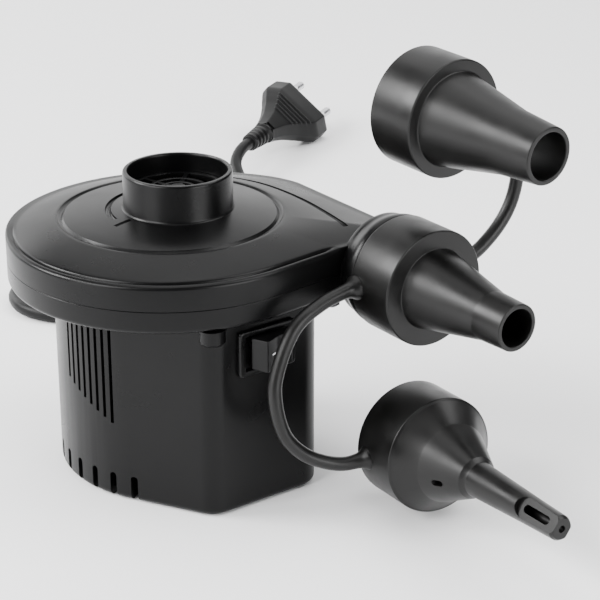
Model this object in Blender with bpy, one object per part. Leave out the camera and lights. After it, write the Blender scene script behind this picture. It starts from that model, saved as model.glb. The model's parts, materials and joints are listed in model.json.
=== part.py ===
"""Electric air mattress pump: blower, motor, switch, nozzle set and mains lead.

Units are metres, +Z is up. The origin is on the motor axis, at the foot of the housing.
+X is the way the air leaves the outlet. Run with blender --background --python part.py
"""
import math

import bmesh
import bpy
from mathutils import Matrix, Vector

MM = 0.001
GAP = 0.3 * MM                       # clearance between neighbouring pieces

# Housing
HOUSING_R = 40.7 * MM
HOUSING_TOP = 63.3 * MM
HOUSING_WALL = 2.2 * MM
FLOOR_T = 2.4 * MM
FLAT_X = 47.0 * MM                   # the flat side that carries the switch
FLAT_CORNER_R = 8.0 * MM
FLAT_CORNER_Y = 15.0 * MM            # centre of the corner's arc
SLOT_COUNT = 8
SLOT_FIRST = -66.0                   # degrees round the axis
SLOT_PITCH = -4.0
SLOT_W = 1.2 * MM
SLOT_TOP = 60.0 * MM
SLOT_FOOT = 26.3 * MM
SLOT_STEP = 1.4 * MM
VENT_COUNT = 7
VENT_FIRST = -56.0
VENT_PITCH = -10.8
VENT_W = 2.2 * MM
VENT_H = 8.6 * MM

# Blower casing
CASE_C = (-1.5 * MM, -2.1 * MM)      # centre of its round outline
CASE_R = 52.5 * MM
CASE_SIDES = 48
CASE_FOOT = 63.6 * MM
CASE_SPLIT = 71.0 * MM
CASE_EDGE = 79.2 * MM
CASE_WALL = 2.2 * MM
MOUTH_X = 47.8 * MM                  # end face towards the outlet
MOUTH_Y = (28.0 * MM, 54.8 * MM)
DOME_R = 35.2 * MM
DOME_Z = 83.5 * MM
COLLAR_R = 17.5 * MM
COLLAR_WALL = 1.7 * MM
COLLAR_FOOT = 85.7 * MM
COLLAR_TOP = 98.1 * MM

# Outlet
OUT_Y = 45.5 * MM
OUT_Z = 70.0 * MM
NECK_X = (42.0 * MM, 54.6 * MM)
NECK_R = (17.0 * MM, 18.3 * MM)
SPIGOT_R = 16.6 * MM
SPIGOT_END = 67.0 * MM
OUT_BORE = 14.6 * MM

# Nozzles
CUP_R = 18.65 * MM
CUP_BORE = 16.95 * MM
CUP_LEN = 17.4 * MM
CUP_BACK = 55.2 * MM                 # where the medium nozzle's cup starts

# Rotor and field
SHAFT_R = 2.0 * MM
BORE_R = 2.1 * MM
CORE_Z = (28.0 * MM, 46.0 * MM)
ARMATURE_R = 14.4 * MM
FIELD_BORE = 15.3 * MM
IMPELLER_R = 37.0 * MM

# Switch
SWITCH_Z = 53.5 * MM
BEZEL_W = 21.0 * MM
BEZEL_H = 15.0 * MM
BEZEL_T = 1.8 * MM
SWITCH_W = 18.8 * MM
SWITCH_H = 12.6 * MM
SWITCH_DEPTH = 13.5 * MM

# Mains lead and plug
CORD_D = 5.4 * MM
CORD_EXIT_Z = 12.0 * MM
CORD_ANGLE = 160.0                   # where it leaves the housing, degrees round the axis
GROMMET_END = 72.0 * MM
COIL_C = (-159.5 * MM, 107.7 * MM)
COIL_R = 30.0 * MM
COIL_W = 17.0 * MM
COIL_H = 11.6 * MM
PLUG_FACE = (-252.8 * MM, 235.4 * MM, 13.1 * MM)
PLUG_DIR = (-0.508, 0.861)
PLUG_ROLL = 39.0                     # degrees: it rests on its bevelled flank
PLUG_LEN = 62.0 * MM
PIN_SPACING = 18.6 * MM
PIN_LEN = 19.0 * MM


def clear_scene():
    for obj in list(bpy.data.objects):
        bpy.data.objects.remove(obj, do_unlink=True)


def material(name, color, roughness=0.5, metallic=0.0):
    mat = bpy.data.materials.new(name)
    mat.use_nodes = True
    shader = mat.node_tree.nodes["Principled BSDF"]
    shader.inputs["Base Color"].default_value = (*color, 1.0)
    shader.inputs["Roughness"].default_value = roughness
    shader.inputs["Metallic"].default_value = metallic
    return mat


BLACK = (0.022, 0.022, 0.024)
FINISHES = {
    "shell": (BLACK, 0.5, 0.0),
    "gloss": ((0.018, 0.018, 0.02), 0.25, 0.0),
    "soft": ((0.026, 0.025, 0.025), 0.42, 0.0),
    "cord": ((0.02, 0.02, 0.02), 0.55, 0.0),
    "steel": ((0.62, 0.62, 0.64), 0.3, 1.0),
    "lamination": ((0.42, 0.42, 0.44), 0.45, 1.0),
    "alloy": ((0.55, 0.55, 0.56), 0.5, 1.0),
    "copper": ((0.72, 0.33, 0.16), 0.32, 1.0),
    "brass": ((0.78, 0.6, 0.3), 0.3, 1.0),
    "bronze": ((0.5, 0.34, 0.2), 0.5, 1.0),
    "carbon": ((0.04, 0.04, 0.045), 0.7, 0.0),
    "nylon": ((0.72, 0.71, 0.66), 0.5, 0.0),
    "rubber": ((0.03, 0.03, 0.03), 0.8, 0.0),
    "yellow": ((0.8, 0.55, 0.08), 0.5, 0.0),
    "white": ((0.85, 0.85, 0.84), 0.4, 0.0),
    "blue": ((0.05, 0.16, 0.5), 0.5, 0.0),
    "brown": ((0.22, 0.1, 0.05), 0.5, 0.0),
    "red": ((0.5, 0.04, 0.03), 0.5, 0.0),
}


def add_object(name, bm, finish):
    """Turn a bmesh into a named object with its own material."""
    bmesh.ops.remove_doubles(bm, verts=bm.verts, dist=1e-6)
    bmesh.ops.recalc_face_normals(bm, faces=bm.faces)
    mesh = bpy.data.meshes.new(name)
    bm.to_mesh(mesh)
    bm.free()
    obj = bpy.data.objects.new(name, mesh)
    bpy.context.collection.objects.link(obj)
    mesh.materials.append(material(name + "_finish", *FINISHES[finish]))
    mesh.shade_smooth()
    mesh.set_sharp_from_angle(angle=math.radians(32))
    return obj


def combine(target, cutter, operation):
    """Apply one EXACT Boolean to target and drop the cutter."""
    modifier = target.modifiers.new("combine", "BOOLEAN")
    modifier.operation = operation
    modifier.solver = "EXACT"
    modifier.object = cutter
    bpy.context.view_layer.update()
    evaluated = target.evaluated_get(bpy.context.evaluated_depsgraph_get())
    mesh = bpy.data.meshes.new_from_object(evaluated)
    target.modifiers.remove(modifier)
    old = target.data
    target.data = mesh
    bpy.data.meshes.remove(old)
    bpy.data.objects.remove(cutter, do_unlink=True)


def cut(target, cutter):
    combine(target, cutter, "DIFFERENCE")


def join(target, other):
    combine(target, other, "UNION")


def circle(radius, count, centre=(0.0, 0.0), start=0.0):
    step = 2 * math.pi / count
    angles = [start + step * i for i in range(count)]
    return [(centre[0] + radius * math.cos(a), centre[1] + radius * math.sin(a)) for a in angles]


def loft(bm, rings, closed=False, matrix=None):
    """Skin a list of rings, each a list of 3-D points, into one body."""
    matrix = matrix or Matrix.Identity(4)
    rows = [[bm.verts.new(matrix @ Vector(p)) for p in ring] for ring in rings]
    pairs = list(zip(rows, rows[1:]))
    if closed:
        pairs.append((rows[-1], rows[0]))
    else:
        bm.faces.new(rows[0])
        bm.faces.new(rows[-1])
    for low, high in pairs:
        for i in range(len(low)):
            j = (i + 1) % len(low)
            bm.faces.new((low[i], low[j], high[j], high[i]))


def flat_ring(outline, z):
    return [(x, y, z) for x, y in outline]


def prism(bm, outline, z0, z1, matrix=None):
    loft(bm, [flat_ring(outline, z0), flat_ring(outline, z1)], matrix=matrix)


def cylinder(bm, radius, z0, z1, count=24, centre=(0.0, 0.0), matrix=None):
    prism(bm, circle(radius, count, centre), z0, z1, matrix)


def tube(bm, outer, inner, z0, z1, count=24, centre=(0.0, 0.0), matrix=None):
    big, small = circle(outer, count, centre), circle(inner, count, centre)
    rings = [flat_ring(big, z0), flat_ring(big, z1), flat_ring(small, z1), flat_ring(small, z0)]
    loft(bm, rings, closed=True, matrix=matrix)


def box(bm, low, high, matrix=None):
    outline = [(low[0], low[1]), (high[0], low[1]), (high[0], high[1]), (low[0], high[1])]
    prism(bm, outline, low[2], high[2], matrix)


def turned(bm, profile, count=32, matrix=None, closed=True):
    """Turn a profile of (radius, height) points round Z. A closed one is a ring."""
    rings = [flat_ring(circle(max(r, 1e-5), count), z) for r, z in profile]
    loft(bm, rings, closed=closed, matrix=matrix)


def along_x(point, yaw=0.0, pitch=0.0):
    """Matrix that turns +Z into +X (then yaw and pitch in degrees) at a point."""
    turn = Matrix.Rotation(math.radians(yaw), 4, "Z")
    tilt = Matrix.Rotation(-math.radians(pitch), 4, "Y")
    return Matrix.Translation(point) @ turn @ tilt @ Matrix.Rotation(math.pi / 2, 4, "Y")


def rounded_rectangle(width, height, radius, steps=4, centre=(0.0, 0.0)):
    points = []
    for sx, sy, start in ((1, 1, 0), (-1, 1, 90), (-1, -1, 180), (1, -1, 270)):
        cx = centre[0] + sx * (width / 2 - radius)
        cy = centre[1] + sy * (height / 2 - radius)
        for i in range(steps + 1):
            a = math.radians(start + 90 * i / steps)
            points.append((cx + radius * math.cos(a), cy + radius * math.sin(a)))
    return points


def smooth_path(points, count):
    """Evenly spaced points on a Catmull-Rom curve through the given ones."""
    pts = [Vector(p) for p in points]
    ends = [2 * pts[0] - pts[1]] + pts + [2 * pts[-1] - pts[-2]]
    fine = []
    for a, b, c, d in zip(ends, ends[1:], ends[2:], ends[3:]):
        for i in range(24):
            t = i / 24
            fine.append(0.5 * (2 * b + (c - a) * t + (2 * a - 5 * b + 4 * c - d) * t * t
                               + (3 * b - a - 3 * c + d) * t ** 3))
    fine.append(pts[-1])
    travelled = [0.0]
    for p, q in zip(fine, fine[1:]):
        travelled.append(travelled[-1] + (q - p).length)
    result, k = [], 0
    for i in range(count):
        goal = travelled[-1] * i / (count - 1)
        while k < len(fine) - 2 and travelled[k + 1] < goal:
            k += 1
        span = max(travelled[k + 1] - travelled[k], 1e-9)
        result.append(fine[k].lerp(fine[k + 1], (goal - travelled[k]) / span))
    return result


def cable(name, points, diameter, finish, resolution=2):
    """A round tube with filled caps along a list of points."""
    curve = bpy.data.curves.new(name, "CURVE")
    curve.dimensions = "3D"
    curve.bevel_depth = diameter / 2
    curve.bevel_resolution = resolution
    curve.use_fill_caps = True
    spline = curve.splines.new("POLY")
    spline.points.add(len(points) - 1)
    for target, p in zip(spline.points, points):
        target.co = (*p, 1.0)
    curve.materials.append(material(name + "_finish", *FINISHES[finish]))
    obj = bpy.data.objects.new(name, curve)
    bpy.context.collection.objects.link(obj)
    return obj


# ---------------------------------------------------------------- outlines

def housing_outline(inset=0.0, arc=32):
    """Round shell with a flat at +X: a band round one big and two small circles."""
    big = HOUSING_R
    small = FLAT_CORNER_R
    cx, cy = FLAT_X - small, FLAT_CORNER_Y
    reach = math.hypot(cx, cy)
    touch = math.atan2(cy, cx) + math.acos((big - small) / reach)
    points = []
    for i in range(5):
        a = touch * i / 4
        points.append((cx + (small - inset) * math.cos(a), cy + (small - inset) * math.sin(a)))
    for i in range(arc + 1):
        a = touch + (2 * math.pi - 2 * touch) * i / arc
        points.append(((big - inset) * math.cos(a), (big - inset) * math.sin(a)))
    for i in range(5):
        a = -touch + touch * i / 4
        points.append((cx + (small - inset) * math.cos(a), -cy + (small - inset) * math.sin(a)))
    return points


def case_radius(angle):
    """Distance from the casing's centre to its outline: a circle that opens to the mouth."""
    ux, uy = math.cos(angle), math.sin(angle)
    corner = (MOUTH_X - CASE_C[0], MOUTH_Y[0] - CASE_C[1])
    far_y = MOUTH_Y[1] - CASE_C[1]
    near = math.atan2(corner[1], corner[0])
    tangent = near - math.acos(CASE_R / math.hypot(*corner))
    far = math.atan2(far_y, corner[0])
    turn = math.radians(98)
    round_again = math.radians(140)
    if angle < tangent or angle > round_again:
        return CASE_R
    if angle < near:
        return CASE_R / math.cos(angle - tangent)
    if angle <= far:
        return corner[0] / ux
    if angle <= turn:
        return far_y / uy
    share = (angle - turn) / (round_again - turn)
    ease = 1 - share * share * (3 - 2 * share)
    return CASE_R + (far_y / math.sin(turn) - CASE_R) * ease


def case_angles():
    """Evenly spread ring angles, with the mouth's two corners among them."""
    angles = [2 * math.pi * i / CASE_SIDES for i in range(CASE_SIDES)]
    for y in MOUTH_Y:
        corner = math.atan2(y - CASE_C[1], MOUTH_X - CASE_C[0])
        nearest = min(range(CASE_SIDES), key=lambda i: abs(angles[i] - corner))
        angles[nearest] = corner
    return angles


def case_ring(inset, z, roundness=0.0, radius=None):
    """A ring of the casing. Roundness 1 gives a plain circle of the given radius."""
    points = []
    for a in case_angles():
        own = case_radius(a) - inset
        r = own if radius is None else own + (radius - own) * roundness
        points.append((CASE_C[0] + r * math.cos(a), CASE_C[1] + r * math.sin(a), z))
    return points


def axis_ring(radius, z):
    """A ring round the motor axis with the casing's angles."""
    return [(radius * math.cos(a), radius * math.sin(a), z) for a in case_angles()]


# ---------------------------------------------------------------- housing and casing

POST_ANGLES = (45, 135, 225, 315)
POST_R = 36.0 * MM
RIM_BOSSES = ((43.4, 28.4), (-23.5, 38.6), (-42.8, -13.8))
CORNER_BOSS = (44.6 * MM, -17.7 * MM, 4.1 * MM)
MOTOR_POST_Y = 30.5 * MM
BOLT_Y = 20.6 * MM
BRIDGE_TOP_Z = 52.0 * MM


def cord_exit():
    """Matrix that turns +Z into the way the lead leaves the housing."""
    place = Matrix.Translation((0, 0, CORD_EXIT_Z)) @ Matrix.Rotation(math.radians(CORD_ANGLE), 4, "Z")
    return place @ Matrix.Rotation(math.pi / 2, 4, "Y")


def post_places():
    for a in POST_ANGLES:
        yield POST_R * math.cos(math.radians(a)), POST_R * math.sin(math.radians(a))


def build_housing():
    wall = HOUSING_WALL
    bm = bmesh.new()
    loft(bm, [
        flat_ring(housing_outline(2.0 * MM), 0.0),
        flat_ring(housing_outline(0.6 * MM), 0.55 * MM),
        flat_ring(housing_outline(), 2.0 * MM),
        flat_ring(housing_outline(), HOUSING_TOP),
        flat_ring(housing_outline(wall), HOUSING_TOP),
        flat_ring(housing_outline(wall), FLOOR_T),
    ])
    shell = add_object("motor_housing", bm, "shell")

    bm = bmesh.new()
    for x, y in post_places():
        cylinder(bm, 3.4 * MM, FLOOR_T - 0.2 * MM, HOUSING_TOP, 12, (x, y))
    for side in (-1, 1):
        cylinder(bm, 3.6 * MM, FLOOR_T - 0.2 * MM, BRIDGE_TOP_Z - 2.3 * MM, 12, (0, side * MOTOR_POST_Y))
    x, y, radius = CORNER_BOSS
    cylinder(bm, radius, 58.4 * MM, HOUSING_TOP, 16, (x, y))
    join(shell, add_object("posts", bm, "shell"))

    bm = bmesh.new()
    for x, y in post_places():
        cylinder(bm, 1.6 * MM, HOUSING_TOP - 12 * MM, HOUSING_TOP + MM, 8, (x, y))
    for side in (-1, 1):
        cylinder(bm, 1.6 * MM, BRIDGE_TOP_Z - 14 * MM, BRIDGE_TOP_Z, 8, (0, side * MOTOR_POST_Y))
    cut(shell, add_object("post_holes", bm, "shell"))

    bm = bmesh.new()
    for side in (1, -1):
        for i in range(SLOT_COUNT):
            turn = Matrix.Rotation(math.radians(side * (SLOT_FIRST + SLOT_PITCH * i)), 4, "Z")
            foot = SLOT_FOOT + SLOT_STEP * i
            box(bm, (36 * MM, -SLOT_W / 2, foot), (44 * MM, SLOT_W / 2, SLOT_TOP), turn)
        for i in range(VENT_COUNT):
            turn = Matrix.Rotation(math.radians(side * (VENT_FIRST + VENT_PITCH * i)), 4, "Z")
            arch = [(-VENT_W / 2, -MM), (VENT_W / 2, -MM)]
            for k in range(5):
                a = math.pi * k / 4
                arch.append((VENT_W / 2 * math.cos(a), VENT_H - VENT_W / 2 + VENT_W / 2 * math.sin(a)))
            stand = turn @ Matrix.Rotation(math.pi / 2, 4, "Z") @ Matrix.Rotation(math.pi / 2, 4, "X")
            prism(bm, arch, 35.4 * MM, 46 * MM, stand)
    cut(shell, add_object("slots", bm, "shell"))

    bm = bmesh.new()
    half_w, half_h = SWITCH_W / 2 + GAP, SWITCH_H / 2 + GAP
    box(bm, (40 * MM, -half_w, SWITCH_Z - half_h), (50 * MM, half_w, SWITCH_Z + half_h))
    cylinder(bm, 4.3 * MM, 36 * MM, 44 * MM, 16, matrix=cord_exit())
    cut(shell, add_object("panel_cuts", bm, "shell"))


def neck_solid(bm):
    """Outlet neck and spigot as one turned bar along X."""
    profile = [
        (NECK_R[0] - 2.5 * MM, NECK_X[0]), (NECK_R[0], NECK_X[0] + 2.5 * MM),
        (NECK_R[0] + 0.1 * MM, MOUTH_X), (NECK_R[1], NECK_X[1] - 1.5 * MM), (NECK_R[1], NECK_X[1]),
        (SPIGOT_R, NECK_X[1]), (SPIGOT_R, SPIGOT_END - 0.8 * MM), (SPIGOT_R - 0.8 * MM, SPIGOT_END),
    ]
    turned(bm, profile, 32, along_x((0, OUT_Y, OUT_Z)), closed=False)


def casing_half(name, rings, finish, low, high, bosses):
    """One half of the casing: its loft, joined to its bosses and its half of the outlet."""
    bm = bmesh.new()
    loft(bm, rings, closed=True)
    half = add_object(name, bm, finish)
    join(half, boss_group(*bosses))
    bm = bmesh.new()
    neck_solid(bm)
    neck = add_object("neck", bm, finish)
    bm = bmesh.new()
    box(bm, (30 * MM, 15 * MM, low), (80 * MM, 75 * MM, high))
    combine(neck, add_object("half_space", bm, finish), "INTERSECT")
    bm = bmesh.new()
    box(bm, (30 * MM, 15 * MM, CASE_FOOT + CASE_WALL), (46 * MM, 52.3 * MM, 76.6 * MM))
    cut(neck, add_object("chamber", bm, finish))
    join(half, neck)
    return half


def casing_bore():
    """The air's way out: chamber corner and round bore, as one cutter."""
    bm = bmesh.new()
    cylinder(bm, OUT_BORE, NECK_X[0] + 2.2 * MM, SPIGOT_END + MM, 32, matrix=along_x((0, OUT_Y, OUT_Z)))
    return add_object("bore", bm, "shell")


def boss_group(radius, z0, z1, count=12):
    bm = bmesh.new()
    for x, y in RIM_BOSSES:
        cylinder(bm, radius, z0, z1, count, (x * MM, y * MM))
    return add_object("bosses", bm, "shell")


def build_base():
    wall, low = CASE_WALL, CASE_FOOT
    top = CASE_SPLIT - GAP / 2
    base = casing_half("volute_base", [
        case_ring(0.0, top), case_ring(0.0, low + 1.6 * MM), case_ring(0.5 * MM, low + 0.5 * MM),
        case_ring(1.6 * MM, low), axis_ring(4.0 * MM, low), axis_ring(4.0 * MM, low + wall),
        case_ring(wall, low + wall), case_ring(wall, top),
    ], "shell", OUT_Z - 20 * MM, top, (3.4 * MM, 60.6 * MM, top - 0.1 * MM))
    cut(base, casing_bore())
    cut(base, boss_group(1.9 * MM, 57 * MM, top + MM, 10))
    bm = bmesh.new()
    for x, y in post_places():
        cylinder(bm, 1.9 * MM, low - MM, low + wall + MM, 10, (x, y))
    cut(base, add_object("post_holes", bm, "shell"))


def build_cover():
    wall, low = CASE_WALL, CASE_SPLIT + GAP / 2
    bore = COLLAR_R - COLLAR_WALL
    cover = casing_half("volute_cover", [
        case_ring(0.0, low), case_ring(0.0, CASE_EDGE - 1.4 * MM),
        case_ring(0.45 * MM, CASE_EDGE - 0.4 * MM), case_ring(1.4 * MM, CASE_EDGE),
        case_ring(2.2 * MM, CASE_EDGE - 0.5 * MM), case_ring(2.9 * MM, CASE_EDGE + 0.5 * MM),
        case_ring(9.0 * MM, CASE_EDGE + 2.3 * MM, 0.4, 44.0 * MM),
        case_ring(0.0, DOME_Z - 0.2 * MM, 1.0, DOME_R + 0.8 * MM),
        case_ring(0.0, DOME_Z - 0.8 * MM, 1.0, DOME_R), case_ring(0.0, DOME_Z, 1.0, DOME_R - 0.8 * MM),
        axis_ring(COLLAR_R + 1.0 * MM, COLLAR_FOOT), axis_ring(COLLAR_R, COLLAR_FOOT + 0.8 * MM),
        axis_ring(COLLAR_R, COLLAR_TOP - 0.6 * MM), axis_ring(COLLAR_R - 0.5 * MM, COLLAR_TOP),
        axis_ring(bore + 0.3 * MM, COLLAR_TOP), axis_ring(bore, COLLAR_TOP - 0.5 * MM),
        axis_ring(bore, COLLAR_FOOT - 2.6 * MM),
        case_ring(0.0, DOME_Z - 3.2 * MM, 1.0, DOME_R),
        case_ring(wall + 2.0 * MM, CASE_EDGE - 2.2 * MM), case_ring(wall, CASE_EDGE - 3.2 * MM),
        case_ring(wall, low),
    ], "shell", low, OUT_Z + 20 * MM, (3.2 * MM, low + 0.1 * MM, CASE_EDGE - 1.0 * MM))
    cut(cover, casing_bore())
    cut(cover, boss_group(1.75 * MM, low - MM, CASE_EDGE - 4.0 * MM, 10))


def build_guard():
    """Inlet grille: rings and spokes round a hub, standing in the collar."""
    z0, z1 = 90.3 * MM, 92.1 * MM
    bm = bmesh.new()
    tube(bm, COLLAR_R - COLLAR_WALL - GAP, 13.9 * MM, z0, z1, 28)
    guard = add_object("inlet_guard", bm, "shell")
    bm = bmesh.new()
    for i in range(6):
        turn = Matrix.Rotation(math.radians(60 * i + 15), 4, "Z")
        box(bm, (2 * MM, -0.8 * MM, z0 + 0.2 * MM), (14.2 * MM, 0.8 * MM, z1 - 0.2 * MM), turn)
    join(guard, add_object("spokes", bm, "shell"))
    for outer, inner in ((10.6 * MM, 9.2 * MM), (7.0 * MM, 5.7 * MM)):
        bm = bmesh.new()
        tube(bm, outer, inner, z0 + 0.1 * MM, z1 - 0.1 * MM, 20)
        join(guard, add_object("ring", bm, "shell"))
    bm = bmesh.new()
    cylinder(bm, 3.4 * MM, z0, z1 + 0.6 * MM, 12)
    join(guard, add_object("hub", bm, "shell"))


# ---------------------------------------------------------------- screws

def screw(bm, x, y, z_head, z_tip, shank, head_r, head_h, up=1):
    """Pan-head screw. The head sits at z_head and the tip points the other way."""
    outer = z_head + up * head_h
    profile = [(head_r * 0.6, outer), (head_r, outer - up * head_h * 0.5), (head_r, z_head),
               (shank, z_head), (shank, z_tip + up * shank), (0.2 * MM, z_tip)]
    turned(bm, profile, 10, Matrix.Translation((x, y, 0)), closed=False)


def build_screws():
    for i, (x, y) in enumerate(RIM_BOSSES):
        bm = bmesh.new()
        screw(bm, x * MM, y * MM, 60.3 * MM, 75.0 * MM, 1.4 * MM, 2.7 * MM, 1.5 * MM, -1)
        add_object(f"volute_screw_{i + 1}", bm, "steel")
    for i, (x, y) in enumerate(post_places()):
        bm = bmesh.new()
        screw(bm, x, y, 66.1 * MM, 53 * MM, 1.25 * MM, 2.6 * MM, 1.5 * MM)
        add_object(f"housing_screw_{i + 1}", bm, "steel")
    for name, side in (("a", 1), ("b", -1)):
        bm = bmesh.new()
        screw(bm, 0, side * BOLT_Y, 55.3 * MM, 12.0 * MM, 1.3 * MM, 2.5 * MM, 1.5 * MM)
        add_object("motor_screw_" + name, bm, "steel")
        bm = bmesh.new()
        screw(bm, 0, side * MOTOR_POST_Y, 55.3 * MM, 41 * MM, 1.25 * MM, 2.6 * MM, 1.5 * MM)
        add_object("motor_mount_screw_" + name, bm, "steel")
        bm = bmesh.new()
        tube(bm, 3.4 * MM, 1.7 * MM, 50.0 * MM, 51.7 * MM, 14, (0, side * MOTOR_POST_Y))
        add_object("rubber_mount_" + name, bm, "rubber")


# ---------------------------------------------------------------- motor

def build_field():
    z0, z1 = CORE_Z
    bm = bmesh.new()
    prism(bm, rounded_rectangle(55 * MM, 47 * MM, 10 * MM), z0, z1)
    core = add_object("stator_core", bm, "lamination")
    bm = bmesh.new()
    cylinder(bm, FIELD_BORE, z0 - MM, z1 + MM, 32)
    for side in (-1, 1):
        cylinder(bm, 1.7 * MM, z0 - MM, z1 + MM, 10, (0, side * BOLT_Y))
    for sx in (-1, 1):
        for sy in (-1, 1):
            xs = sorted((sx * 16.0 * MM, sx * 22.0 * MM))
            ys = sorted((sy * 12.6 * MM, sy * 19.6 * MM))
            box(bm, (xs[0], ys[0], z0 - MM), (xs[1], ys[1], z1 + MM))
    cut(core, add_object("windows", bm, "lamination"))
    for name, side in (("field_coil_a", 1), ("field_coil_b", -1)):
        outer = rounded_rectangle(37.8 * MM, 27.6 * MM, 5 * MM, 3)
        inner = rounded_rectangle(26.2 * MM, 19.2 * MM, 0.8 * MM, 3)
        turn = Matrix.Translation((side * 16.6 * MM, 0, sum(CORE_Z) / 2)) @ Matrix.Rotation(
            math.pi / 2, 4, "Z") @ Matrix.Rotation(math.pi / 2, 4, "X")
        depth = (0.0, 4.8 * MM) if side > 0 else (-4.8 * MM, 0.0)
        bm = bmesh.new()
        loft(bm, [flat_ring(outer, depth[0]), flat_ring(outer, depth[1]),
                  flat_ring(inner, depth[1]), flat_ring(inner, depth[0])], closed=True, matrix=turn)
        add_object(name, bm, "copper")


def build_bridges():
    """Cast end frames. Their legs stand on the field's two screws and clamp its core."""
    legs = {"lower_bridge": (15 * MM, CORE_Z[0] - GAP), "upper_bridge": (CORE_Z[1] + GAP, 53 * MM)}
    for name, z0, reach in (("lower_bridge", 13.5 * MM, 25 * MM), ("upper_bridge", 52 * MM, 34.2 * MM)):
        z1 = z0 + 3 * MM
        bm = bmesh.new()
        prism(bm, rounded_rectangle(15 * MM, 2 * reach, 5 * MM), z0, z1)
        bridge = add_object(name, bm, "alloy")
        bm = bmesh.new()
        for side in (-1, 1):
            cylinder(bm, 3.2 * MM, *legs[name], 14, (0, side * BOLT_Y))
        join(bridge, add_object("legs", bm, "alloy"))
        bm = bmesh.new()
        cylinder(bm, 5.3 * MM, z0 - MM, z1 + MM, 24)
        for side in (-1, 1):
            cylinder(bm, 1.7 * MM, z0 - 8 * MM, z1 + 13 * MM, 10, (0, side * BOLT_Y))
            if reach > 30 * MM:
                cylinder(bm, 1.7 * MM, z0 - MM, z1 + MM, 10, (0, side * MOTOR_POST_Y))
        cut(bridge, add_object("holes", bm, "alloy"))
    for name, z0 in (("bearing_lower", 12.6 * MM), ("bearing_upper", 51.2 * MM)):
        bm = bmesh.new()
        tube(bm, 5.0 * MM, BORE_R, z0, z0 + 4.6 * MM, 24)
        add_object(name, bm, "bronze")


def armature_outline():
    """Twelve open slots between T-shaped teeth."""
    points, teeth = [], 12
    for i in range(teeth):
        middle = 2 * math.pi * i / teeth
        for offset, radius in ((-11.5, ARMATURE_R), (0, ARMATURE_R), (11.5, ARMATURE_R),
                               (11.0, 12.8 * MM), (6.0, 12.2 * MM), (9.0, 7.4 * MM)):
            a = middle + math.radians(offset)
            points.append((radius * math.cos(a), radius * math.sin(a)))
        for offset, radius in ((21.0, 7.4 * MM), (24.0, 12.2 * MM), (19.0, 12.8 * MM)):
            a = middle + math.radians(offset)
            points.append((radius * math.cos(a), radius * math.sin(a)))
    return points


def build_rotor():
    shaft = bmesh.new()
    cylinder(shaft, SHAFT_R, 4.5 * MM, 80.5 * MM, 24)
    add_object("shaft", shaft, "steel")
    hub = SHAFT_R + GAP
    bm = bmesh.new()
    prism(bm, armature_outline(), *CORE_Z)
    core = add_object("armature_core", bm, "lamination")
    bm = bmesh.new()
    cylinder(bm, hub, CORE_Z[0] - MM, CORE_Z[1] + MM, 24)
    cut(core, add_object("hole", bm, "lamination"))
    bm = bmesh.new()
    for low, high in ((25.4 * MM, CORE_Z[0] - GAP), (CORE_Z[1] + GAP, 50.4 * MM)):
        mid = (low + high) / 2
        profile = [(3.0 * MM, low), (8.5 * MM, low), (12.6 * MM, mid), (11.8 * MM, high), (3.0 * MM, high)]
        turned(bm, profile, 24)
    winding = add_object("armature_winding", bm, "copper")
    bm = bmesh.new()
    for i in range(12):
        turn = Matrix.Rotation(math.radians(30 * i + 15), 4, "Z")
        box(bm, (8.7 * MM, -0.7 * MM, CORE_Z[0] - 1.2 * MM), (11.4 * MM, 0.7 * MM, CORE_Z[1] + 1.2 * MM), turn)
    join(winding, add_object("slot_wires", bm, "copper"))
    bm = bmesh.new()
    turned(bm, [(hub, 17.6 * MM), (8.6 * MM, 17.6 * MM), (8.6 * MM, 23.4 * MM), (9.8 * MM, 23.6 * MM),
                (9.8 * MM, 24.8 * MM), (hub, 24.8 * MM)], 24)
    add_object("commutator", bm, "copper")


def blade(bm, inner, outer, z0, z1, sweep, thickness, steps=3, rise=0.0):
    """One curved upright blade as a loft between its two ends."""
    rings = []
    for i in range(steps + 1):
        t = i / steps
        r = inner + (outer - inner) * t
        a = sweep * t * t
        heading = a + math.atan2(2 * sweep * t * r / (outer - inner), 1.0)
        side = Vector((-math.sin(heading), math.cos(heading), 0)) * thickness / 2
        mid = Vector((r * math.cos(a), r * math.sin(a), 0))
        top = z1 - rise * t
        rings.append([mid - side + Vector((0, 0, z0)), mid + side + Vector((0, 0, z0)),
                      mid + side + Vector((0, 0, top)), mid - side + Vector((0, 0, top))])
    loft(bm, rings)


def build_wheel(name, finish, radius, plate, top, hub_r, hub_z, count, sweep, inner, rise):
    """A fan wheel: hub and plate turned as one, with its blades joined on."""
    bm = bmesh.new()
    hub = SHAFT_R + GAP
    turned(bm, [(hub, hub_z[0]), (hub_r, hub_z[0]), (hub_r, plate[0]), (radius, plate[0]),
                (radius, plate[1]), (hub_r + 1.5 * MM, plate[1]), (hub_r, hub_z[1]), (hub, hub_z[1])], 32)
    wheel = add_object(name, bm, finish)
    for i in range(count):
        bm = bmesh.new()
        blade(bm, inner, radius - 0.4 * MM, plate[1] - 0.4 * MM, top, sweep, 1.3 * MM, rise=rise)
        bmesh.ops.rotate(bm, verts=bm.verts, cent=(0, 0, 0),
                         matrix=Matrix.Rotation(2 * math.pi * i / count, 3, "Z"))
        join(wheel, add_object("blade", bm, finish))


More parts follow.
